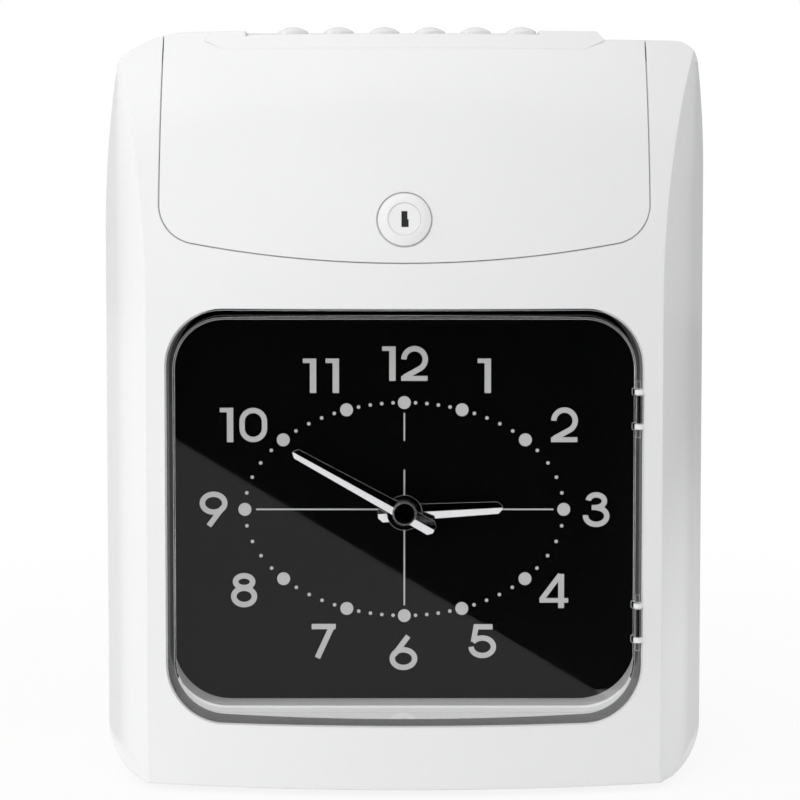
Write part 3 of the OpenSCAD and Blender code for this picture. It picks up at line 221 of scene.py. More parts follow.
def make_finish(name, colour, skin, bump, edge_radius, edge_tint=1.0, mottle=0.04, metallic=0.0, **fixed):
    """A finish with its own grain, softened edges whose colour is lightened as painted highlight or darkened as
    painted shade, and slight colour variation.
    """
    material = bpy.data.materials.new(name)
    material.use_nodes = True
    tree = material.node_tree
    shader = tree.nodes["Principled BSDF"]
    place = add_node(tree, "ShaderNodeTexCoord")
    group, values = skin
    grain = place_group(tree, group, **values)
    tree.links.new(place.outputs["Object"], grain.inputs["Vector"])
    edges = place_group(tree, edge_softening, Radius=edge_radius)
    varied = mix_colours(tree, grain.outputs["Mottle"], shade(colour, 1.0 - mottle), shade(colour, 1.0 + mottle))
    # Painted highlight or painted shade: the colour along the edges is scaled by the edge factor, lighter above
    # 1 and darker below 1.
    edge_lit = mix_colours(tree, edges.outputs["Edge"], varied, shade(colour, edge_tint))
    tree.links.new(edge_lit, shader.inputs["Base Color"])
    tree.links.new(grain.outputs["Roughness"], shader.inputs["Roughness"])
    relief = add_node(tree, "ShaderNodeBump")
    relief.inputs["Strength"].default_value = bump
    relief.inputs["Distance"].default_value = RELIEF_DEPTH
    tree.links.new(grain.outputs["Height"], relief.inputs["Height"])
    tree.links.new(edges.outputs["Normal"], relief.inputs["Normal"])
    tree.links.new(relief.outputs["Normal"], shader.inputs["Normal"])
    shader.inputs["Metallic"].default_value = metallic
    for label, value in fixed.items():
        shader.inputs[label.replace("_", " ")].default_value = value
    return material


def skin(roughness, spread=0.06, grain=1800.0, wave=45.0, share=0.5):
    return moulded_skin, dict(Grain=grain, Wave=wave, Wave_Share=share, Roughness=roughness, Spread=spread)


def streaks(roughness, spread=0.2, across=2600.0):
    return drawn_streaks, dict(Across=across, Roughness=roughness, Spread=spread)


ACRYLIC_IOR = 1.49
FOOT_REACH = 22 * MM
FOOT_SLOPE = 0.35
LIP_PROUD = 0.8 * MM
LIP_FACING = -0.7
LIP_PAINTED_SHADE = (0.2, 0.2, 0.2, 1.0)
RIM_EDGE_RADIUS = 0.26 * MM
RIM_PAINTED_GLINT = 0.9
MOST_HAZE = 0.035
CLEAR = (1.0, 1.0, 1.0, 1.0)


def acrylic_zones(tree, place):
    """Masks of the window's level foot and of its front lip, by where a point lies and which way it faces."""
    where = add_node(tree, "ShaderNodeSeparateXYZ")
    facing = add_node(tree, "ShaderNodeSeparateXYZ")
    tree.links.new(place.outputs["Object"], where.inputs["Vector"])
    tree.links.new(place.outputs["Normal"], facing.inputs["Vector"])
    low = math_node(tree, "LESS_THAN", where.outputs["Z"], WINDOW_LOW_Z + FOOT_REACH)
    level = math_node(tree, "GREATER_THAN", math_node(tree, "ABSOLUTE", facing.outputs["Z"]), FOOT_SLOPE)
    ahead = math_node(tree, "LESS_THAN", where.outputs["Y"], PANE_Y - LIP_PROUD)
    outward = math_node(tree, "LESS_THAN", facing.outputs["Y"], LIP_FACING)
    return math_node(tree, "MULTIPLY", low, level), math_node(tree, "MULTIPLY", ahead, outward)


def make_clear_acrylic():
    """Clear acrylic that bends what lies behind it; its foot and front lip are seen straight through, the lip
    darkened as painted shade, with painted glints along its edges.
    """
    material = bpy.data.materials.new("clear_acrylic")
    material.use_nodes = True
    tree = material.node_tree
    bending = tree.nodes["Principled BSDF"]
    bending.inputs["Base Color"].default_value = (0.985, 0.985, 0.985, 1.0)
    bending.inputs["Transmission Weight"].default_value = 1.0
    bending.inputs["IOR"].default_value = ACRYLIC_IOR
    place = add_node(tree, "ShaderNodeTexCoord")
    smear = add_node(tree, "ShaderNodeTexNoise")
    smear.inputs["Scale"].default_value = 30.0
    smear.inputs["Detail"].default_value = 5.0
    tree.links.new(place.outputs["Object"], smear.inputs["Vector"])
    haze = map_range(tree, smear.outputs["Fac"], (0.0, 1.0), (0.0, MOST_HAZE))
    tree.links.new(haze, bending.inputs["Roughness"])

    foot, lip = acrylic_zones(tree, place)
    through = add_node(tree, "ShaderNodeBsdfTransparent")
    # Painted shade: the clear front lip lets only a fifth of the light through, standing in for the dark look of
    # the rim's edge.
    tree.links.new(mix_colours(tree, lip, CLEAR, LIP_PAINTED_SHADE), through.inputs["Color"])
    gloss = add_node(tree, "ShaderNodeBsdfGlossy")
    gloss.inputs["Roughness"].default_value = 0.02
    rim = add_node(tree, "ShaderNodeFresnel")
    rim.inputs["IOR"].default_value = ACRYLIC_IOR
    side = add_node(tree, "ShaderNodeNewGeometry")
    front = math_node(tree, "SUBTRACT", 1.0, side.outputs["Backfacing"])
    mirrored = math_node(tree, "MULTIPLY", rim.outputs["Fac"], front)
    straight = mix_shaders(tree, mirrored, through.outputs["BSDF"], gloss.outputs["BSDF"])

    bulk = mix_shaders(tree, math_node(tree, "MAXIMUM", foot, lip), bending.outputs["BSDF"], straight)
    # Painted highlight: a pale diffuse shader is mixed in along the rim's edges as glints.
    edges = place_group(tree, edge_softening, Radius=RIM_EDGE_RADIUS)
    painted_glint = add_node(tree, "ShaderNodeBsdfDiffuse")
    painted_glint.inputs["Color"].default_value = (0.8, 0.8, 0.8, 1.0)
    along_edge = math_node(tree, "MULTIPLY", edges.outputs["Edge"], RIM_PAINTED_GLINT)
    body = mix_shaders(tree, along_edge, bulk, painted_glint.outputs["BSDF"])
    lit = add_node(tree, "ShaderNodeBsdfTransparent")
    lit.inputs["Color"].default_value = (0.99, 0.99, 0.99, 1.0)
    path = add_node(tree, "ShaderNodeLightPath")
    either = mix_shaders(tree, path.outputs["Is Shadow Ray"], body, lit.outputs["BSDF"])
    tree.links.new(either, tree.nodes["Material Output"].inputs["Surface"])
    return material


def make_hand_chrome():
    """Mirror-bright hands whose cut edges turn to pale non-metal, a painted highlight that outlines them."""
    material = make_finish("hand_chrome", colour=(0.9, 0.9, 0.91), skin=streaks(0.03, 0.03, 3000.0), bump=0.01,
                           edge_radius=0.17 * MM, mottle=0.02, metallic=1.0)
    tree = material.node_tree
    shader = tree.nodes["Principled BSDF"]
    edges = next(n for n in tree.nodes if n.type == "GROUP" and n.node_tree == edge_softening)
    # Painted highlight: along the edges the metal gives way to pale non-metal, which shows as a bright outline.
    tree.links.new(math_node(tree, "SUBTRACT", 1.0, edges.outputs["Edge"]), shader.inputs["Metallic"])
    return material


TRACK_GREEN = (0.06, 0.33, 0.13, 1.0)


def make_circuit_board():
    """Green solder mask with copper tracks showing through it as a lighter pattern."""
    material = make_finish("circuit_board", colour=(0.02, 0.19, 0.08), skin=skin(0.34, 0.1, 1200.0), bump=0.2,
                           edge_radius=0.2 * MM, edge_tint=1.3, mottle=0.1, Coat_Weight=0.3, Coat_Roughness=0.2)
    tree = material.node_tree
    shader = tree.nodes["Principled BSDF"]
    place = add_node(tree, "ShaderNodeTexCoord")
    tracks = add_node(tree, "ShaderNodeTexBrick")
    tracks.inputs["Scale"].default_value = 130.0
    tracks.inputs["Mortar Size"].default_value = 0.035
    tracks.inputs["Color1"].default_value = (0.0, 0.0, 0.0, 1.0)
    tracks.inputs["Color2"].default_value = (0.0, 0.0, 0.0, 1.0)
    tracks.inputs["Mortar"].default_value = (1.0, 1.0, 1.0, 1.0)
    turn = add_node(tree, "ShaderNodeMapping")
    turn.inputs["Rotation"].default_value = (math.radians(90), 0.0, 0.0)
    tree.links.new(place.outputs["Object"], turn.inputs["Vector"])
    tree.links.new(turn.outputs["Vector"], tracks.inputs["Vector"])
    mask = shader.inputs["Base Color"].links[0].from_socket
    over = mix_colours(tree, tracks.outputs["Color"], mask, TRACK_GREEN)
    tree.links.new(over, shader.inputs["Base Color"])
    return material


# The edge factor in each finish paints a highlight along the edges above 1, and shade below 1.
PLAIN_FINISHES = {
    "white_abs": dict(colour=(0.86, 0.86, 0.865), skin=skin(0.24, 0.06, 2200.0, 38.0, 0.75), bump=0.05,
                      edge_radius=0.5 * MM, mottle=0.012, Coat_Weight=0.25, Coat_Roughness=0.08,
                      Subsurface_Weight=0.3, Subsurface_Radius=(1.6 * MM, 1.6 * MM, 1.5 * MM)),
    "lock_face": dict(colour=(0.85, 0.85, 0.85), skin=skin(0.26), bump=0.05, edge_radius=0.3 * MM,
                      edge_tint=0.97, mottle=0.015),
    "rubber": dict(colour=(0.025, 0.025, 0.026), skin=skin(0.7, 0.15, 2600.0), bump=0.5, edge_radius=0.5 * MM,
                   edge_tint=1.5, mottle=0.12),
    "zinc_steel": dict(colour=(0.62, 0.63, 0.65), skin=streaks(0.34), bump=0.15, edge_radius=0.2 * MM,
                       edge_tint=1.15, mottle=0.1, metallic=1.0),
    "dial_black": dict(colour=(0.0015, 0.0015, 0.0016), skin=skin(0.45, 0.05, 2400.0), bump=0.04,
                       edge_radius=0.2 * MM, mottle=0.1, Specular_IOR_Level=0.08),
    "dial_print": dict(colour=(0.56, 0.56, 0.56), skin=skin(0.55, 0.1, 3000.0), bump=0.1,
                       edge_radius=0.05 * MM, mottle=0.03),
    "black_plastic": dict(colour=(0.022, 0.022, 0.023), skin=skin(0.45, 0.1), bump=0.35, edge_radius=0.4 * MM,
                          edge_tint=1.6, mottle=0.1),
    "sheet_steel": dict(colour=(0.56, 0.57, 0.59), skin=streaks(0.38), bump=0.2, edge_radius=0.2 * MM,
                        edge_tint=1.2, mottle=0.12, metallic=1.0),
    "ground_rod": dict(colour=(0.72, 0.72, 0.74), skin=streaks(0.16, 0.12), bump=0.08, edge_radius=0.3 * MM,
                       edge_tint=1.1, mottle=0.05, metallic=1.0),
    "grey_plastic": dict(colour=(0.42, 0.42, 0.43), skin=skin(0.42), bump=0.3, edge_radius=0.4 * MM,
                         edge_tint=1.1, mottle=0.06),
    "platen_rubber": dict(colour=(0.03, 0.03, 0.031), skin=skin(0.62, 0.15, 2600.0), bump=0.4,
                          edge_radius=0.4 * MM, edge_tint=1.4, mottle=0.12),
    "blue_plastic": dict(colour=(0.02, 0.07, 0.36), skin=skin(0.34), bump=0.2, edge_radius=0.4 * MM,
                         edge_tint=1.3, mottle=0.06),
    "natural_nylon": dict(colour=(0.72, 0.68, 0.55), skin=skin(0.4), bump=0.2, edge_radius=0.2 * MM,
                          edge_tint=1.05, mottle=0.05, Subsurface_Weight=0.1,
                          Subsurface_Radius=(2 * MM, 2 * MM, 1 * MM)),
    "core_steel": dict(colour=(0.1, 0.09, 0.08), skin=streaks(0.5, 0.2, 1400.0), bump=0.6, edge_radius=0.3 * MM,
                       edge_tint=1.5, mottle=0.15, metallic=0.6),
    "battery_sleeve": dict(colour=(0.03, 0.24, 0.09), skin=skin(0.3, 0.1, 900.0), bump=0.25,
                           edge_radius=0.6 * MM, edge_tint=1.2, mottle=0.08),
}


def make_finishes():
    made = {name: make_finish(name, **values) for name, values in PLAIN_FINISHES.items()}
    made["hand_chrome"] = make_hand_chrome()
    made["clear_acrylic"] = make_clear_acrylic()
    made["circuit_board"] = make_circuit_board()
    return made


finishes = make_finishes()


# Smooth copies of the curved mouldings

MERGE_REACH = 2e-6
SLIVER = 1e-6


def link(obj):
    scene.collection.objects.link(obj)
    return obj


def smooth_copy(node, crease):
    """A merged copy of a CAD node with smooth curved faces, which stands for it."""
    mesh = nodes[node].data.copy()
    mesh.materials.clear()
    work = bmesh.new()
    work.from_mesh(mesh)
    bmesh.ops.remove_doubles(work, verts=work.verts, dist=MERGE_REACH)
    bmesh.ops.dissolve_degenerate(work, edges=work.edges, dist=SLIVER)
    for face in work.faces:
        face.smooth = True
    work.to_mesh(mesh)
    work.free()
    if mesh.has_custom_normals:
        mesh.attributes.remove(mesh.attributes["custom_normal"])
    mesh.set_sharp_from_angle(angle=math.radians(crease))
    mesh.materials.append(finishes[slot_of_node[node]])
    piece = link(bpy.data.objects.new(node + "_skin", mesh))
    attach(piece, body_of_node[node])
    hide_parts(node)
    return piece


FLAT_FACED = {"timing_belt", "keypad_board", "main_board", "transformer", "mechanism_frame", "platen",
              "card_chute", "print_head", "dial_plate", "ribbon_cartridge"}
HAND_CREASE = 14
MOULDING_CREASE = 26


def dress_nodes():
    for node, obj in nodes.items():
        if node in FLAT_FACED:
            obj.data.materials.clear()
            obj.data.materials.append(finishes[slot_of_node[node]])
        else:
            crease = HAND_CREASE if node in ("hour_hand", "minute_hand") else MOULDING_CREASE
            piece = smooth_copy(node, crease)
            piece.visible_diffuse = node != "window"


dress_nodes()


# Cover seam and lock, with sizes in millimetres as in the part's source

CASE_FRONT_Y = -62.5
BULGE_R = 330.0
LEAN_Z = 166.0
LEAN_R = 175.0
COVER_HALF = 83.25
COVER_LOW = 181.0
COVER_ARC_R = 398.0
COVER_CORNER_R = 13.5
SEAM = 0.4
SEAM_HIGH_Z = 250.0
SIDE_STEPS = 8
CORNER_STEPS = 10
LOWER_STEPS = 40
STRIP_TOP = 0.5
STRIP_FOOT = 2.9
STRIP_GAP = 0.005
LOCK_Z = 195.5
KEYWAY_HALF_W = 1.0
KEYWAY_HALF_H = 2.7
KEYWAY_WARD = 0.4
SHADE_CARD_GAP = 0.05
SHADE_CARD_OUT = 0.6
SHADE_CARD_T = 0.5


def thicken(work, shift):
    """Grows the flat faces of the work into solids, by a shift along Y."""
    grown = bmesh.ops.extrude_face_region(work, geom=list(work.faces))
    moved = [v for v in grown["geom"] if isinstance(v, bmesh.types.BMVert)]
    bmesh.ops.translate(work, verts=moved, vec=(0.0, shift, 0.0))


def closed_piece(work, name, finish):
    """A piece in one finish from closed work, with its faces turned outwards."""
    bmesh.ops.recalc_face_normals(work, faces=work.faces)
    mesh = bpy.data.meshes.new(name)
    work.to_mesh(mesh)
    work.free()
    mesh.materials.append(finishes[finish])
    return link(bpy.data.objects.new(name, mesh))


def arc(cx, cz, rx, rz, start, end, steps=28):
    points = []
    for i in range(steps + 1):
        angle = math.radians(start + (end - start) * i / steps)
        points.append((cx + rx * math.cos(angle), cz + rz * math.sin(angle)))
    return points


def front_surface_y(x, z, inset):
    """Where the bulged, leaning front lies at x and z, set back by an inset, in millimetres."""
    lean = LEAN_R - inset
    reach = BULGE_R - LEAN_R + math.sqrt(lean * lean - max(0.0, z - LEAN_Z) ** 2)
    return CASE_FRONT_Y + BULGE_R - math.sqrt(reach * reach - x * x)


def seam_line(grow):
    """Points down the left side of the cover, round its lower edge and up the right side, grown outwards."""
    arc_z = COVER_LOW + COVER_ARC_R
    corner_x = COVER_HALF - COVER_CORNER_R
    corner_z = arc_z - math.sqrt((COVER_ARC_R - COVER_CORNER_R) ** 2 - corner_x ** 2)
    turn = math.degrees(math.atan2(corner_z - arc_z, -corner_x)) % 360.0
    corner_r = COVER_CORNER_R + grow
    lower_r = COVER_ARC_R + grow
    fall = (corner_z - SEAM_HIGH_Z) / SIDE_STEPS
    left = [(-COVER_HALF - grow, SEAM_HIGH_Z + fall * i) for i in range(SIDE_STEPS)]
    left += arc(-corner_x, corner_z, corner_r, corner_r, 180.0, turn, CORNER_STEPS)
    lower = arc(0.0, arc_z, lower_r, lower_r, turn, 540.0 - turn, LOWER_STEPS)
    return left + lower[1:-1] + [(-x, z) for x, z in reversed(left)]


def lay_seam_light_filler():
    """A pale strip on the housing's side of the cover seam, from the ledge to just below the surface, which
    fills the gap so that the seam shows less shade: painted light.
    """
    work = bmesh.new()
    rings = []
    for (ox, oz), (ix, iz) in zip(seam_line(SEAM - STRIP_GAP), seam_line(SEAM / 2)):
        corners = ((ox, oz, STRIP_TOP), (ix, iz, STRIP_TOP), (ix, iz, STRIP_FOOT), (ox, oz, STRIP_FOOT))
        rings.append([work.verts.new((x * MM, front_surface_y(x, z, d) * MM, z * MM)) for x, z, d in corners])
    for near, far in zip(rings, rings[1:]):
        for i in range(4):
            j = (i + 1) % 4
            work.faces.new((near[i], near[j], far[j], far[i]))
    work.faces.new(rings[0])
    work.faces.new(rings[-1])
    piece = closed_piece(work, "seam_light_filler", "white_abs")
    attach(piece, body_of_node["front_housing"])


def hang_keyway_shade_card():
    """A dark card just inside the keyway of the lock plug, painted shade for the keyway's depth."""
    half_w = KEYWAY_HALF_W - SHADE_CARD_GAP
    half_h = KEYWAY_HALF_H - SHADE_CARD_GAP
    ward = half_w + KEYWAY_WARD
    outline = ((-half_w, -half_h), (ward, -half_h), (ward, -SHADE_CARD_GAP), (half_w, -SHADE_CARD_GAP),
               (half_w, half_h), (-half_w, half_h))
    work = bmesh.new()
    work.faces.new([work.verts.new((x * MM, -SHADE_CARD_OUT * MM, z * MM)) for x, z in outline])
    thicken(work, SHADE_CARD_T * MM)
    lock_place = (0.0, front_surface_y(0.0, LOCK_Z, 0.0) * MM, LOCK_Z * MM)
    lock_tilt = math.asin((LOCK_Z - LEAN_Z) / LEAN_R)
    work.transform(Matrix.Translation(lock_place) @ Matrix.Rotation(-lock_tilt, 4, "X"))
    piece = closed_piece(work, "keyway_shade_card", "rubber")
    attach(piece, "lock_plug")


lay_seam_light_filler()
hang_keyway_shade_card()


# Dial printing

def six_strokes():
    """The ring and the stem of a 6, which make a 9 when turned half round."""
    return [(arc(0.405, 0.337, 0.326, 0.26, 0, 360, 48), 0.157), ([(0.545, 1.0), (0.135, 0.455)], 0.157)]


def numeral_strokes(digit):
    """Strokes of a numeral one unit high: a centre line and a width for each, and the numeral's width."""
    if digit == "0":
        outline = arc(0.4, 0.6, 0.325, 0.322, 0, 180) + arc(0.4, 0.4, 0.325, 0.322, 180, 360)
        return [(outline + outline[:1], 0.155)], 0.8
    if digit == "1":
        return [([(0.297, 0.0), (0.297, 1.0)], 0.186), ([(0.0, 0.935), (0.3, 0.935)], 0.13)], 0.39
    if digit == "2":
        return [(arc(0.39, 0.625, 0.31, 0.31, 180, -62) + [(0.085, 0.105)], 0.157),
                ([(0.0, 0.0725), (0.765, 0.0725)], 0.145)], 0.785
    if digit == "3":
        return [(arc(0.388, 0.757, 0.236, 0.182, 174, -90), 0.157),
                (arc(0.387, 0.32, 0.31, 0.243, 90, -186), 0.157), ([(0.255, 0.57), (0.4, 0.57)], 0.145)], 0.773
    if digit == "4":
        return [([(0.628, 0.0), (0.628, 1.0)], 0.172), ([(0.0, 0.226), (0.835, 0.226)], 0.135),
                ([(0.045, 0.235), (0.607, 0.985)], 0.15)], 0.835
    if digit == "5":
        return [([(0.7, 0.922), (0.16, 0.922)], 0.156), ([(0.232, 0.99), (0.14, 0.475)], 0.152),
                (arc(0.402, 0.335, 0.325, 0.258, 148, -180), 0.157)], 0.82
    if digit == "6":
        return six_strokes(), 0.81
    if digit == "7":
        return [([(0.0, 0.921), (0.7, 0.921)], 0.158), ([(0.602, 0.95), (0.165, 0.0)], 0.165)], 0.7
    if digit == "8":
        return [(arc(0.38, 0.748, 0.248, 0.174, 0, 360, 44), 0.162),
                (arc(0.38, 0.318, 0.3, 0.24, 0, 360, 48), 0.162)], 0.76
    return [([(0.81 - x, 1.0 - z) for x, z in path], width) for path, width in six_strokes()], 0.81


def ribbon_face(work, path, width, level):
    """A flat strip of even width along a path in X and Z, with mitred joints."""
    closed = (Vector(path[0]) - Vector(path[-1])).length < SLIVER
    points = [Vector(p) for p in (path[:-1] if closed else path)]
    count = len(points)
    left, right = [], []
    for i, point in enumerate(points):
        before = points[i - 1] if (closed or i > 0) else None
        after = points[(i + 1) % count] if (closed or i < count - 1) else None
        into = (point - before).normalized() if before is not None else (after - point).normalized()
        out = (after - point).normalized() if after is not None else into
        side = Vector((-into.y - out.y, into.x + out.x)).normalized()
        reach = width / 2 / max(0.5, side.dot(Vector((-into.y, into.x))))
        left.append(work.verts.new((point.x + side.x * reach, level, point.y + side.y * reach)))
        right.append(work.verts.new((point.x - side.x * reach, level, point.y - side.y * reach)))
    for i in range(count if closed else count - 1):
        j = (i + 1) % count
        work.faces.new((left[i], right[i], right[j], left[j]))


def raise_print(work, name, finish):
    """Turns flat strips into thin raised print, and hands it over as a piece on the dial."""
    for face in work.faces:
        face.normal_update()
        if face.normal.y > 0:
            face.normal_flip()
    thicken(work, -PRINT_THICKNESS)
    piece = closed_piece(work, name, finish)
    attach(piece, "case")


NUMERAL_HEIGHT = 11.95 * MM
STROKE_STEP = 0.004 * MM
NUMERAL_GAPS = {"10": 0.18, "11": 0.27, "12": 0.16}
NUMERAL_PLACES = {
    "12": (0.3, 50.7), "1": (27.7, 46.5), "2": (55.6, 29.4), "3": (66.7, -0.2),
    "4": (52.1, -28.6), "5": (27.3, -46.2), "6": (-0.3, -50.4), "7": (-28.1, -46.1),
    "8": (-55.8, -28.3), "9": (-66.3, 0.2), "10": (-55.8, 29.4), "11": (-28.9, 46.5),
}


def print_numerals():
    """The hours, each stroke a little higher than the last so that no two lie in one plane."""
    for label, (x, z) in NUMERAL_PLACES.items():
        work = bmesh.new()
        glyphs = [numeral_strokes(digit) for digit in label]
        gap = NUMERAL_GAPS.get(label, 0.0)
        width = sum(w for strokes, w in glyphs) + gap * (len(glyphs) - 1)
        start = -width / 2
        level = DIAL_FACE_Y
        for strokes, glyph_width in glyphs:
            for path, stroke in strokes:
                placed = [(x * MM + (px + start) * NUMERAL_HEIGHT,
                           DIAL_CENTRE_Z + z * MM + (pz - 0.5) * NUMERAL_HEIGHT) for px, pz in path]
                ribbon_face(work, placed, stroke * NUMERAL_HEIGHT, level)
                level -= STROKE_STEP
            start += glyph_width + gap
        raise_print(work, "numeral_" + label, "dial_print")


CROSS_LINE_WIDTH = 0.55 * MM
LEVEL_SPANS = ((-51.5, -4.5), (4.5, 51.8))
UPRIGHT_SPANS = ((23.9, 33.6), (4.5, 13.8), (-33.6, -4.5))


def print_cross_lines():
    work = bmesh.new()
    for low, high in LEVEL_SPANS:
        ends = [(low * MM, DIAL_CENTRE_Z), (high * MM, DIAL_CENTRE_Z)]
        ribbon_face(work, ends, CROSS_LINE_WIDTH, DIAL_FACE_Y)
    for low, high in UPRIGHT_SPANS:
        ends = [(0.0, DIAL_CENTRE_Z + low * MM), (0.0, DIAL_CENTRE_Z + high * MM)]
        ribbon_face(work, ends, CROSS_LINE_WIDTH, DIAL_FACE_Y)
    raise_print(work, "cross_lines", "dial_print")


MINUTES = 60
HOURS = 12
DOT_RADIUS = 0.62 * MM
DOT_SIDES = 20


def minute_dot_tree():
    """Minute dots round the oval ring at true clock angles, without the ones the hour dots stand on."""
    tree = bpy.data.node_groups.new("minute_dots", "GeometryNodeTree")
    sizes = (("Half Width", RING_HALF_WIDTH), ("Half Height", RING_HALF_HEIGHT), ("Dot Radius", DOT_RADIUS),
             ("Thickness", PRINT_THICKNESS), ("Face Y", DIAL_FACE_Y), ("Centre Z", DIAL_CENTRE_Z))
    for label, value in sizes:
        socket = tree.interface.new_socket(name=label, in_out="INPUT", socket_type="NodeSocketFloat")
        socket.default_value = value
    material = tree.interface.new_socket(name="Print", in_out="INPUT", socket_type="NodeSocketMaterial")
    material.default_value = finishes["dial_print"]
    tree.interface.new_socket(name="Geometry", in_out="OUTPUT", socket_type="NodeSocketGeometry")
    gin = tree.nodes.new("NodeGroupInput")
    gout = tree.nodes.new("NodeGroupOutput")

    def sums(operation, a, b=None):
        return math_node(tree, operation, a, b)

    index = tree.nodes.new("GeometryNodeInputIndex").outputs["Index"]
    angle = sums("MULTIPLY", index, math.radians(360 / MINUTES))
    sine, cosine = sums("SINE", angle), sums("COSINE", angle)
    across = sums("POWER", sums("DIVIDE", sine, gin.outputs["Half Width"]), 2.0)
    along = sums("POWER", sums("DIVIDE", cosine, gin.outputs["Half Height"]), 2.0)
    reach = sums("DIVIDE", 1.0, sums("SQRT", sums("ADD", across, along)))
    place = tree.nodes.new("ShaderNodeCombineXYZ")
    half = sums("MULTIPLY", gin.outputs["Thickness"], 0.5)
    tree.links.new(sums("MULTIPLY", reach, sine), place.inputs["X"])
    tree.links.new(sums("SUBTRACT", gin.outputs["Face Y"], half), place.inputs["Y"])
    tree.links.new(sums("ADD", gin.outputs["Centre Z"], sums("MULTIPLY", reach, cosine)), place.inputs["Z"])
    points = tree.nodes.new("GeometryNodePoints")
    points.inputs["Count"].default_value = MINUTES
    tree.links.new(place.outputs["Vector"], points.inputs["Position"])
    on_hour = sums("LESS_THAN", sums("MODULO", index, MINUTES / HOURS), 0.5)
    drop = add_node(tree, "GeometryNodeDeleteGeometry", domain="POINT")
    tree.links.new(points.outputs[0], drop.inputs["Geometry"])
    tree.links.new(on_hour, drop.inputs["Selection"])
    dot = tree.nodes.new("GeometryNodeMeshCylinder")
    dot.inputs["Vertices"].default_value = DOT_SIDES
    tree.links.new(gin.outputs["Dot Radius"], dot.inputs["Radius"])
    tree.links.new(gin.outputs["Thickness"], dot.inputs["Depth"])
    each = tree.nodes.new("GeometryNodeInstanceOnPoints")
    each.inputs["Rotation"].default_value = (math.radians(90), 0.0, 0.0)
    tree.links.new(drop.outputs["Geometry"], each.inputs["Points"])
    tree.links.new(dot.outputs["Mesh"], each.inputs["Instance"])
    real = tree.nodes.new("GeometryNodeRealizeInstances")
    tree.links.new(each.outputs["Instances"], real.inputs["Geometry"])
    paint = tree.nodes.new("GeometryNodeSetMaterial")
    tree.links.new(real.outputs["Geometry"], paint.inputs["Geometry"])
    tree.links.new(gin.outputs["Print"], paint.inputs["Material"])
    tree.links.new(paint.outputs["Geometry"], gout.inputs["Geometry"])
    return tree


def print_minute_dots():
    maker = link(bpy.data.objects.new("minute_dot_maker", bpy.data.meshes.new("minute_dot_maker")))
    modifier = maker.modifiers.new("minute_dots", "NODES")
    modifier.node_group = minute_dot_tree()
    graph = bpy.context.evaluated_depsgraph_get()
    shown = maker.evaluated_get(graph)
    mesh = bpy.data.meshes.new_from_object(shown, preserve_all_data_layers=True, depsgraph=graph)
    maker.modifiers.remove(modifier)
    bpy.data.objects.remove(maker)
    piece = link(bpy.data.objects.new("minute_dots", mesh))
    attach(piece, "case")


print_numerals()
print_cross_lines()
print_minute_dots()


# Studio and camera

STUDIO_MIDDLE = Vector((0.0, 0.0, 0.13))


def softbox(name, place, width, height, power):
    """A rectangular lamp that faces the middle of the clock."""
    lamp = bpy.data.lights.new(name, "AREA")
    lamp.shape = "RECTANGLE"
    lamp.size, lamp.size_y = width, height
    lamp.energy = power
    obj = link(bpy.data.objects.new(name, lamp))
    obj.location = place
    obj.rotation_euler = (STUDIO_MIDDLE - obj.location).to_track_quat("-Z", "Y").to_euler()
    return obj


FILL_LEFT = 0.86
FILL_RIGHT = 0.63
GLOSS_LEFT = 1.0
GLOSS_RIGHT = 0.4


def after_dull(tree, path):
    """1 for a ray that has left a dull surface, also where clear pieces lie in its way."""
    return math_node(tree, "MINIMUM", path.outputs["Diffuse Depth"], 1.0)


def studio_world():
    """White to the camera; a room that darkens to the right for dull surfaces and more so in gloss."""
    world = bpy.data.worlds.new("studio")
    scene.world = world
    world.use_nodes = True
    tree = world.node_tree
    room = tree.nodes["Background"]
    room.inputs["Color"].default_value = (1.0, 1.0, 1.0, 1.0)
    place = add_node(tree, "ShaderNodeTexCoord")
    sides = add_node(tree, "ShaderNodeSeparateXYZ")
    tree.links.new(place.outputs["Generated"], sides.inputs["Vector"])

    def across(left, right):
        return map_range(tree, sides.outputs["X"], (-1.0, 1.0), (left, right))

    path = add_node(tree, "ShaderNodeLightPath")
    white = math_node(tree, "MAXIMUM", path.outputs["Is Camera Ray"], path.outputs["Is Transmission Ray"])
    gloss = math_node(tree, "MULTIPLY", path.outputs["Is Glossy Ray"], across(GLOSS_LEFT, GLOSS_RIGHT))
    level = add_node(tree, "ShaderNodeMix", data_type="FLOAT")
    tree.links.new(math_node(tree, "MAXIMUM", white, gloss), level.inputs["A"])
    tree.links.new(across(FILL_LEFT, FILL_RIGHT), level.inputs["B"])
    tree.links.new(after_dull(tree, path), level.inputs["Factor"])
    tree.links.new(level.outputs["Result"], room.inputs["Strength"])


def plane(name, corners, material):
    mesh = bpy.data.meshes.new(name)
    mesh.from_pydata(corners, [], [tuple(range(len(corners)))])
    mesh.materials.append(material)
    obj = link(bpy.data.objects.new(name, mesh))
    return obj


FLOOR_HALF = 4
FADE_FROM, FADE_TO = 0.15, 0.7
FADE_SHARE = 0.88
DUSK_FROM, DUSK_TO = 0.25, 0.8


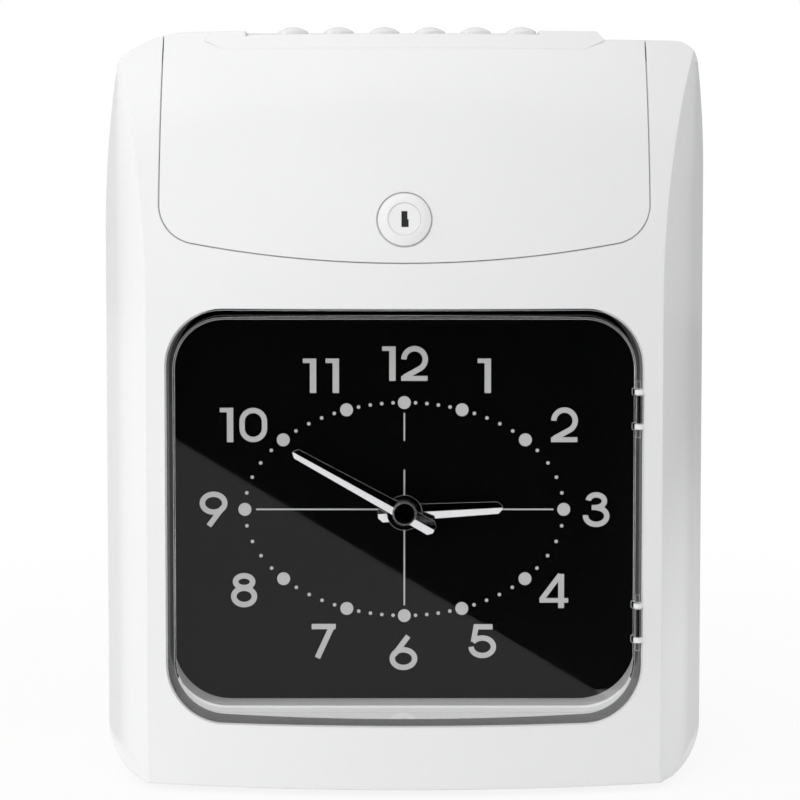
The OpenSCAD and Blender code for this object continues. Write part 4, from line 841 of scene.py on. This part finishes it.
def studio_floor():
    """White where it is seen, with a soft shadow under the clock; in gloss it darkens to the right."""
    material = bpy.data.materials.new("studio_floor")
    material.use_nodes = True
    tree = material.node_tree
    shader = tree.nodes["Principled BSDF"]
    shader.inputs["Base Color"].default_value = (0.9, 0.9, 0.9, 1.0)
    shader.inputs["Roughness"].default_value = 0.9
    shader.inputs["Specular IOR Level"].default_value = 0.0
    glow = add_node(tree, "ShaderNodeEmission")
    path = add_node(tree, "ShaderNodeLightPath")
    seen = math_node(tree, "MAXIMUM", path.outputs["Is Camera Ray"], path.outputs["Is Glossy Ray"])
    seen = math_node(tree, "MAXIMUM", seen, path.outputs["Is Transmission Ray"])
    place = add_node(tree, "ShaderNodeTexCoord")
    away = add_node(tree, "ShaderNodeVectorMath", operation="LENGTH")
    tree.links.new(place.outputs["Object"], away.inputs[0])
    fade = map_range(tree, away.outputs["Value"], (FADE_FROM, FADE_TO), (FADE_SHARE, 1.0))
    direct = math_node(tree, "SUBTRACT", 1.0, after_dull(tree, path))
    share = math_node(tree, "MULTIPLY", math_node(tree, "MULTIPLY", seen, direct), fade)
    sides = add_node(tree, "ShaderNodeSeparateXYZ")
    tree.links.new(place.outputs["Object"], sides.inputs["Vector"])
    dusk = map_range(tree, sides.outputs["X"], (DUSK_FROM, DUSK_TO), (0.0, 1.0 - GLOSS_RIGHT))
    loss = math_node(tree, "MULTIPLY", path.outputs["Is Glossy Ray"], dusk)
    tree.links.new(math_node(tree, "SUBTRACT", 1.0, loss), glow.inputs["Strength"])
    either = mix_shaders(tree, share, shader.outputs["BSDF"], glow.outputs["Emission"])
    tree.links.new(either, tree.nodes["Material Output"].inputs["Surface"])
    half = FLOOR_HALF
    plane("floor", [(-half, -half, 0), (half, -half, 0), (half, half, 0), (-half, half, 0)], material)


def flag_card(name, corners, brightness):
    """A card seen only in gloss and through clear pieces, as a studio flag stands out of the picture."""
    material = bpy.data.materials.new(name)
    material.use_nodes = True
    tree = material.node_tree
    glow = add_node(tree, "ShaderNodeEmission")
    glow.inputs["Color"].default_value = (brightness, brightness, brightness, 1.0)
    absent = add_node(tree, "ShaderNodeBsdfTransparent")
    path = add_node(tree, "ShaderNodeLightPath")
    either = mix_shaders(tree, after_dull(tree, path), glow.outputs["Emission"], absent.outputs["BSDF"])
    tree.links.new(either, tree.nodes["Material Output"].inputs["Surface"])
    obj = plane(name, corners, material)
    obj.visible_camera = False
    obj.visible_diffuse = False
    obj.visible_shadow = False


CURTAIN_Y = -1.7
CURTAIN_HALF_W = 3
CURTAIN_H = 2.2
CARD_LIFT = 0.001
CARD_SIDE_X = 1.5
CARD_FRONT_Y = -1.72
DARK_BACK_Y = -0.241
GREY_BACK_Y = -0.215
GREY_BRIGHTNESS = 0.3


def hang_flags():
    """A dark curtain across the front, and a dark and a grey card that share a slanted edge on the floor."""
    left, right = -CURTAIN_HALF_W, CURTAIN_HALF_W
    flag_card("dark_curtain", [(left, CURTAIN_Y, 0), (right, CURTAIN_Y, 0), (right, CURTAIN_Y, CURTAIN_H),
                               (left, CURTAIN_Y, CURTAIN_H)], 0.0)

    def on_floor(*corners):
        return [(x, y, CARD_LIFT) for x, y in corners]

    near = (0.079, DARK_BACK_Y)
    far = (-0.2458, CARD_FRONT_Y)
    dark = on_floor(near, (CARD_SIDE_X, DARK_BACK_Y), (CARD_SIDE_X, CARD_FRONT_Y), far)
    flag_card("dark_floor_card", dark, 0.0)
    grey = on_floor((-CARD_SIDE_X, GREY_BACK_Y), (0.085, GREY_BACK_Y), near, far, (-CARD_SIDE_X, CARD_FRONT_Y))
    flag_card("grey_floor_card", grey, GREY_BRIGHTNESS)


def make_studio():
    scene.view_settings.view_transform = "Standard"
    studio_world()
    studio_floor()
    key = softbox("key_softbox", (-0.45, -1.57, 0.89), width=0.9, height=1.0, power=6.5)
    key.visible_glossy = False
    key.visible_transmission = False
    softbox("left_softbox", (-1.6, -0.5, 0.5), width=0.5, height=1.0, power=4.1)
    softbox("top_softbox", (0.1, -0.35, 1.5), width=1.1, height=0.9, power=0.8)
    hang_flags()


CAMERA_PLACE = (-0.0015, -0.9625, 0.1953)
CAMERA_DIP = 3.83


def make_camera():
    """A long lens before the clock, a little above its middle and dipped towards it."""
    lens = bpy.data.cameras.new("camera")
    lens.lens = 120.9
    lens.sensor_width = 36.0
    lens.clip_end = 20.0
    obj = link(bpy.data.objects.new("camera", lens))
    obj.location = CAMERA_PLACE
    obj.rotation_euler = (math.radians(90.0 - CAMERA_DIP), 0.0, 0.0)
    scene.camera = obj


make_studio()
make_camera()
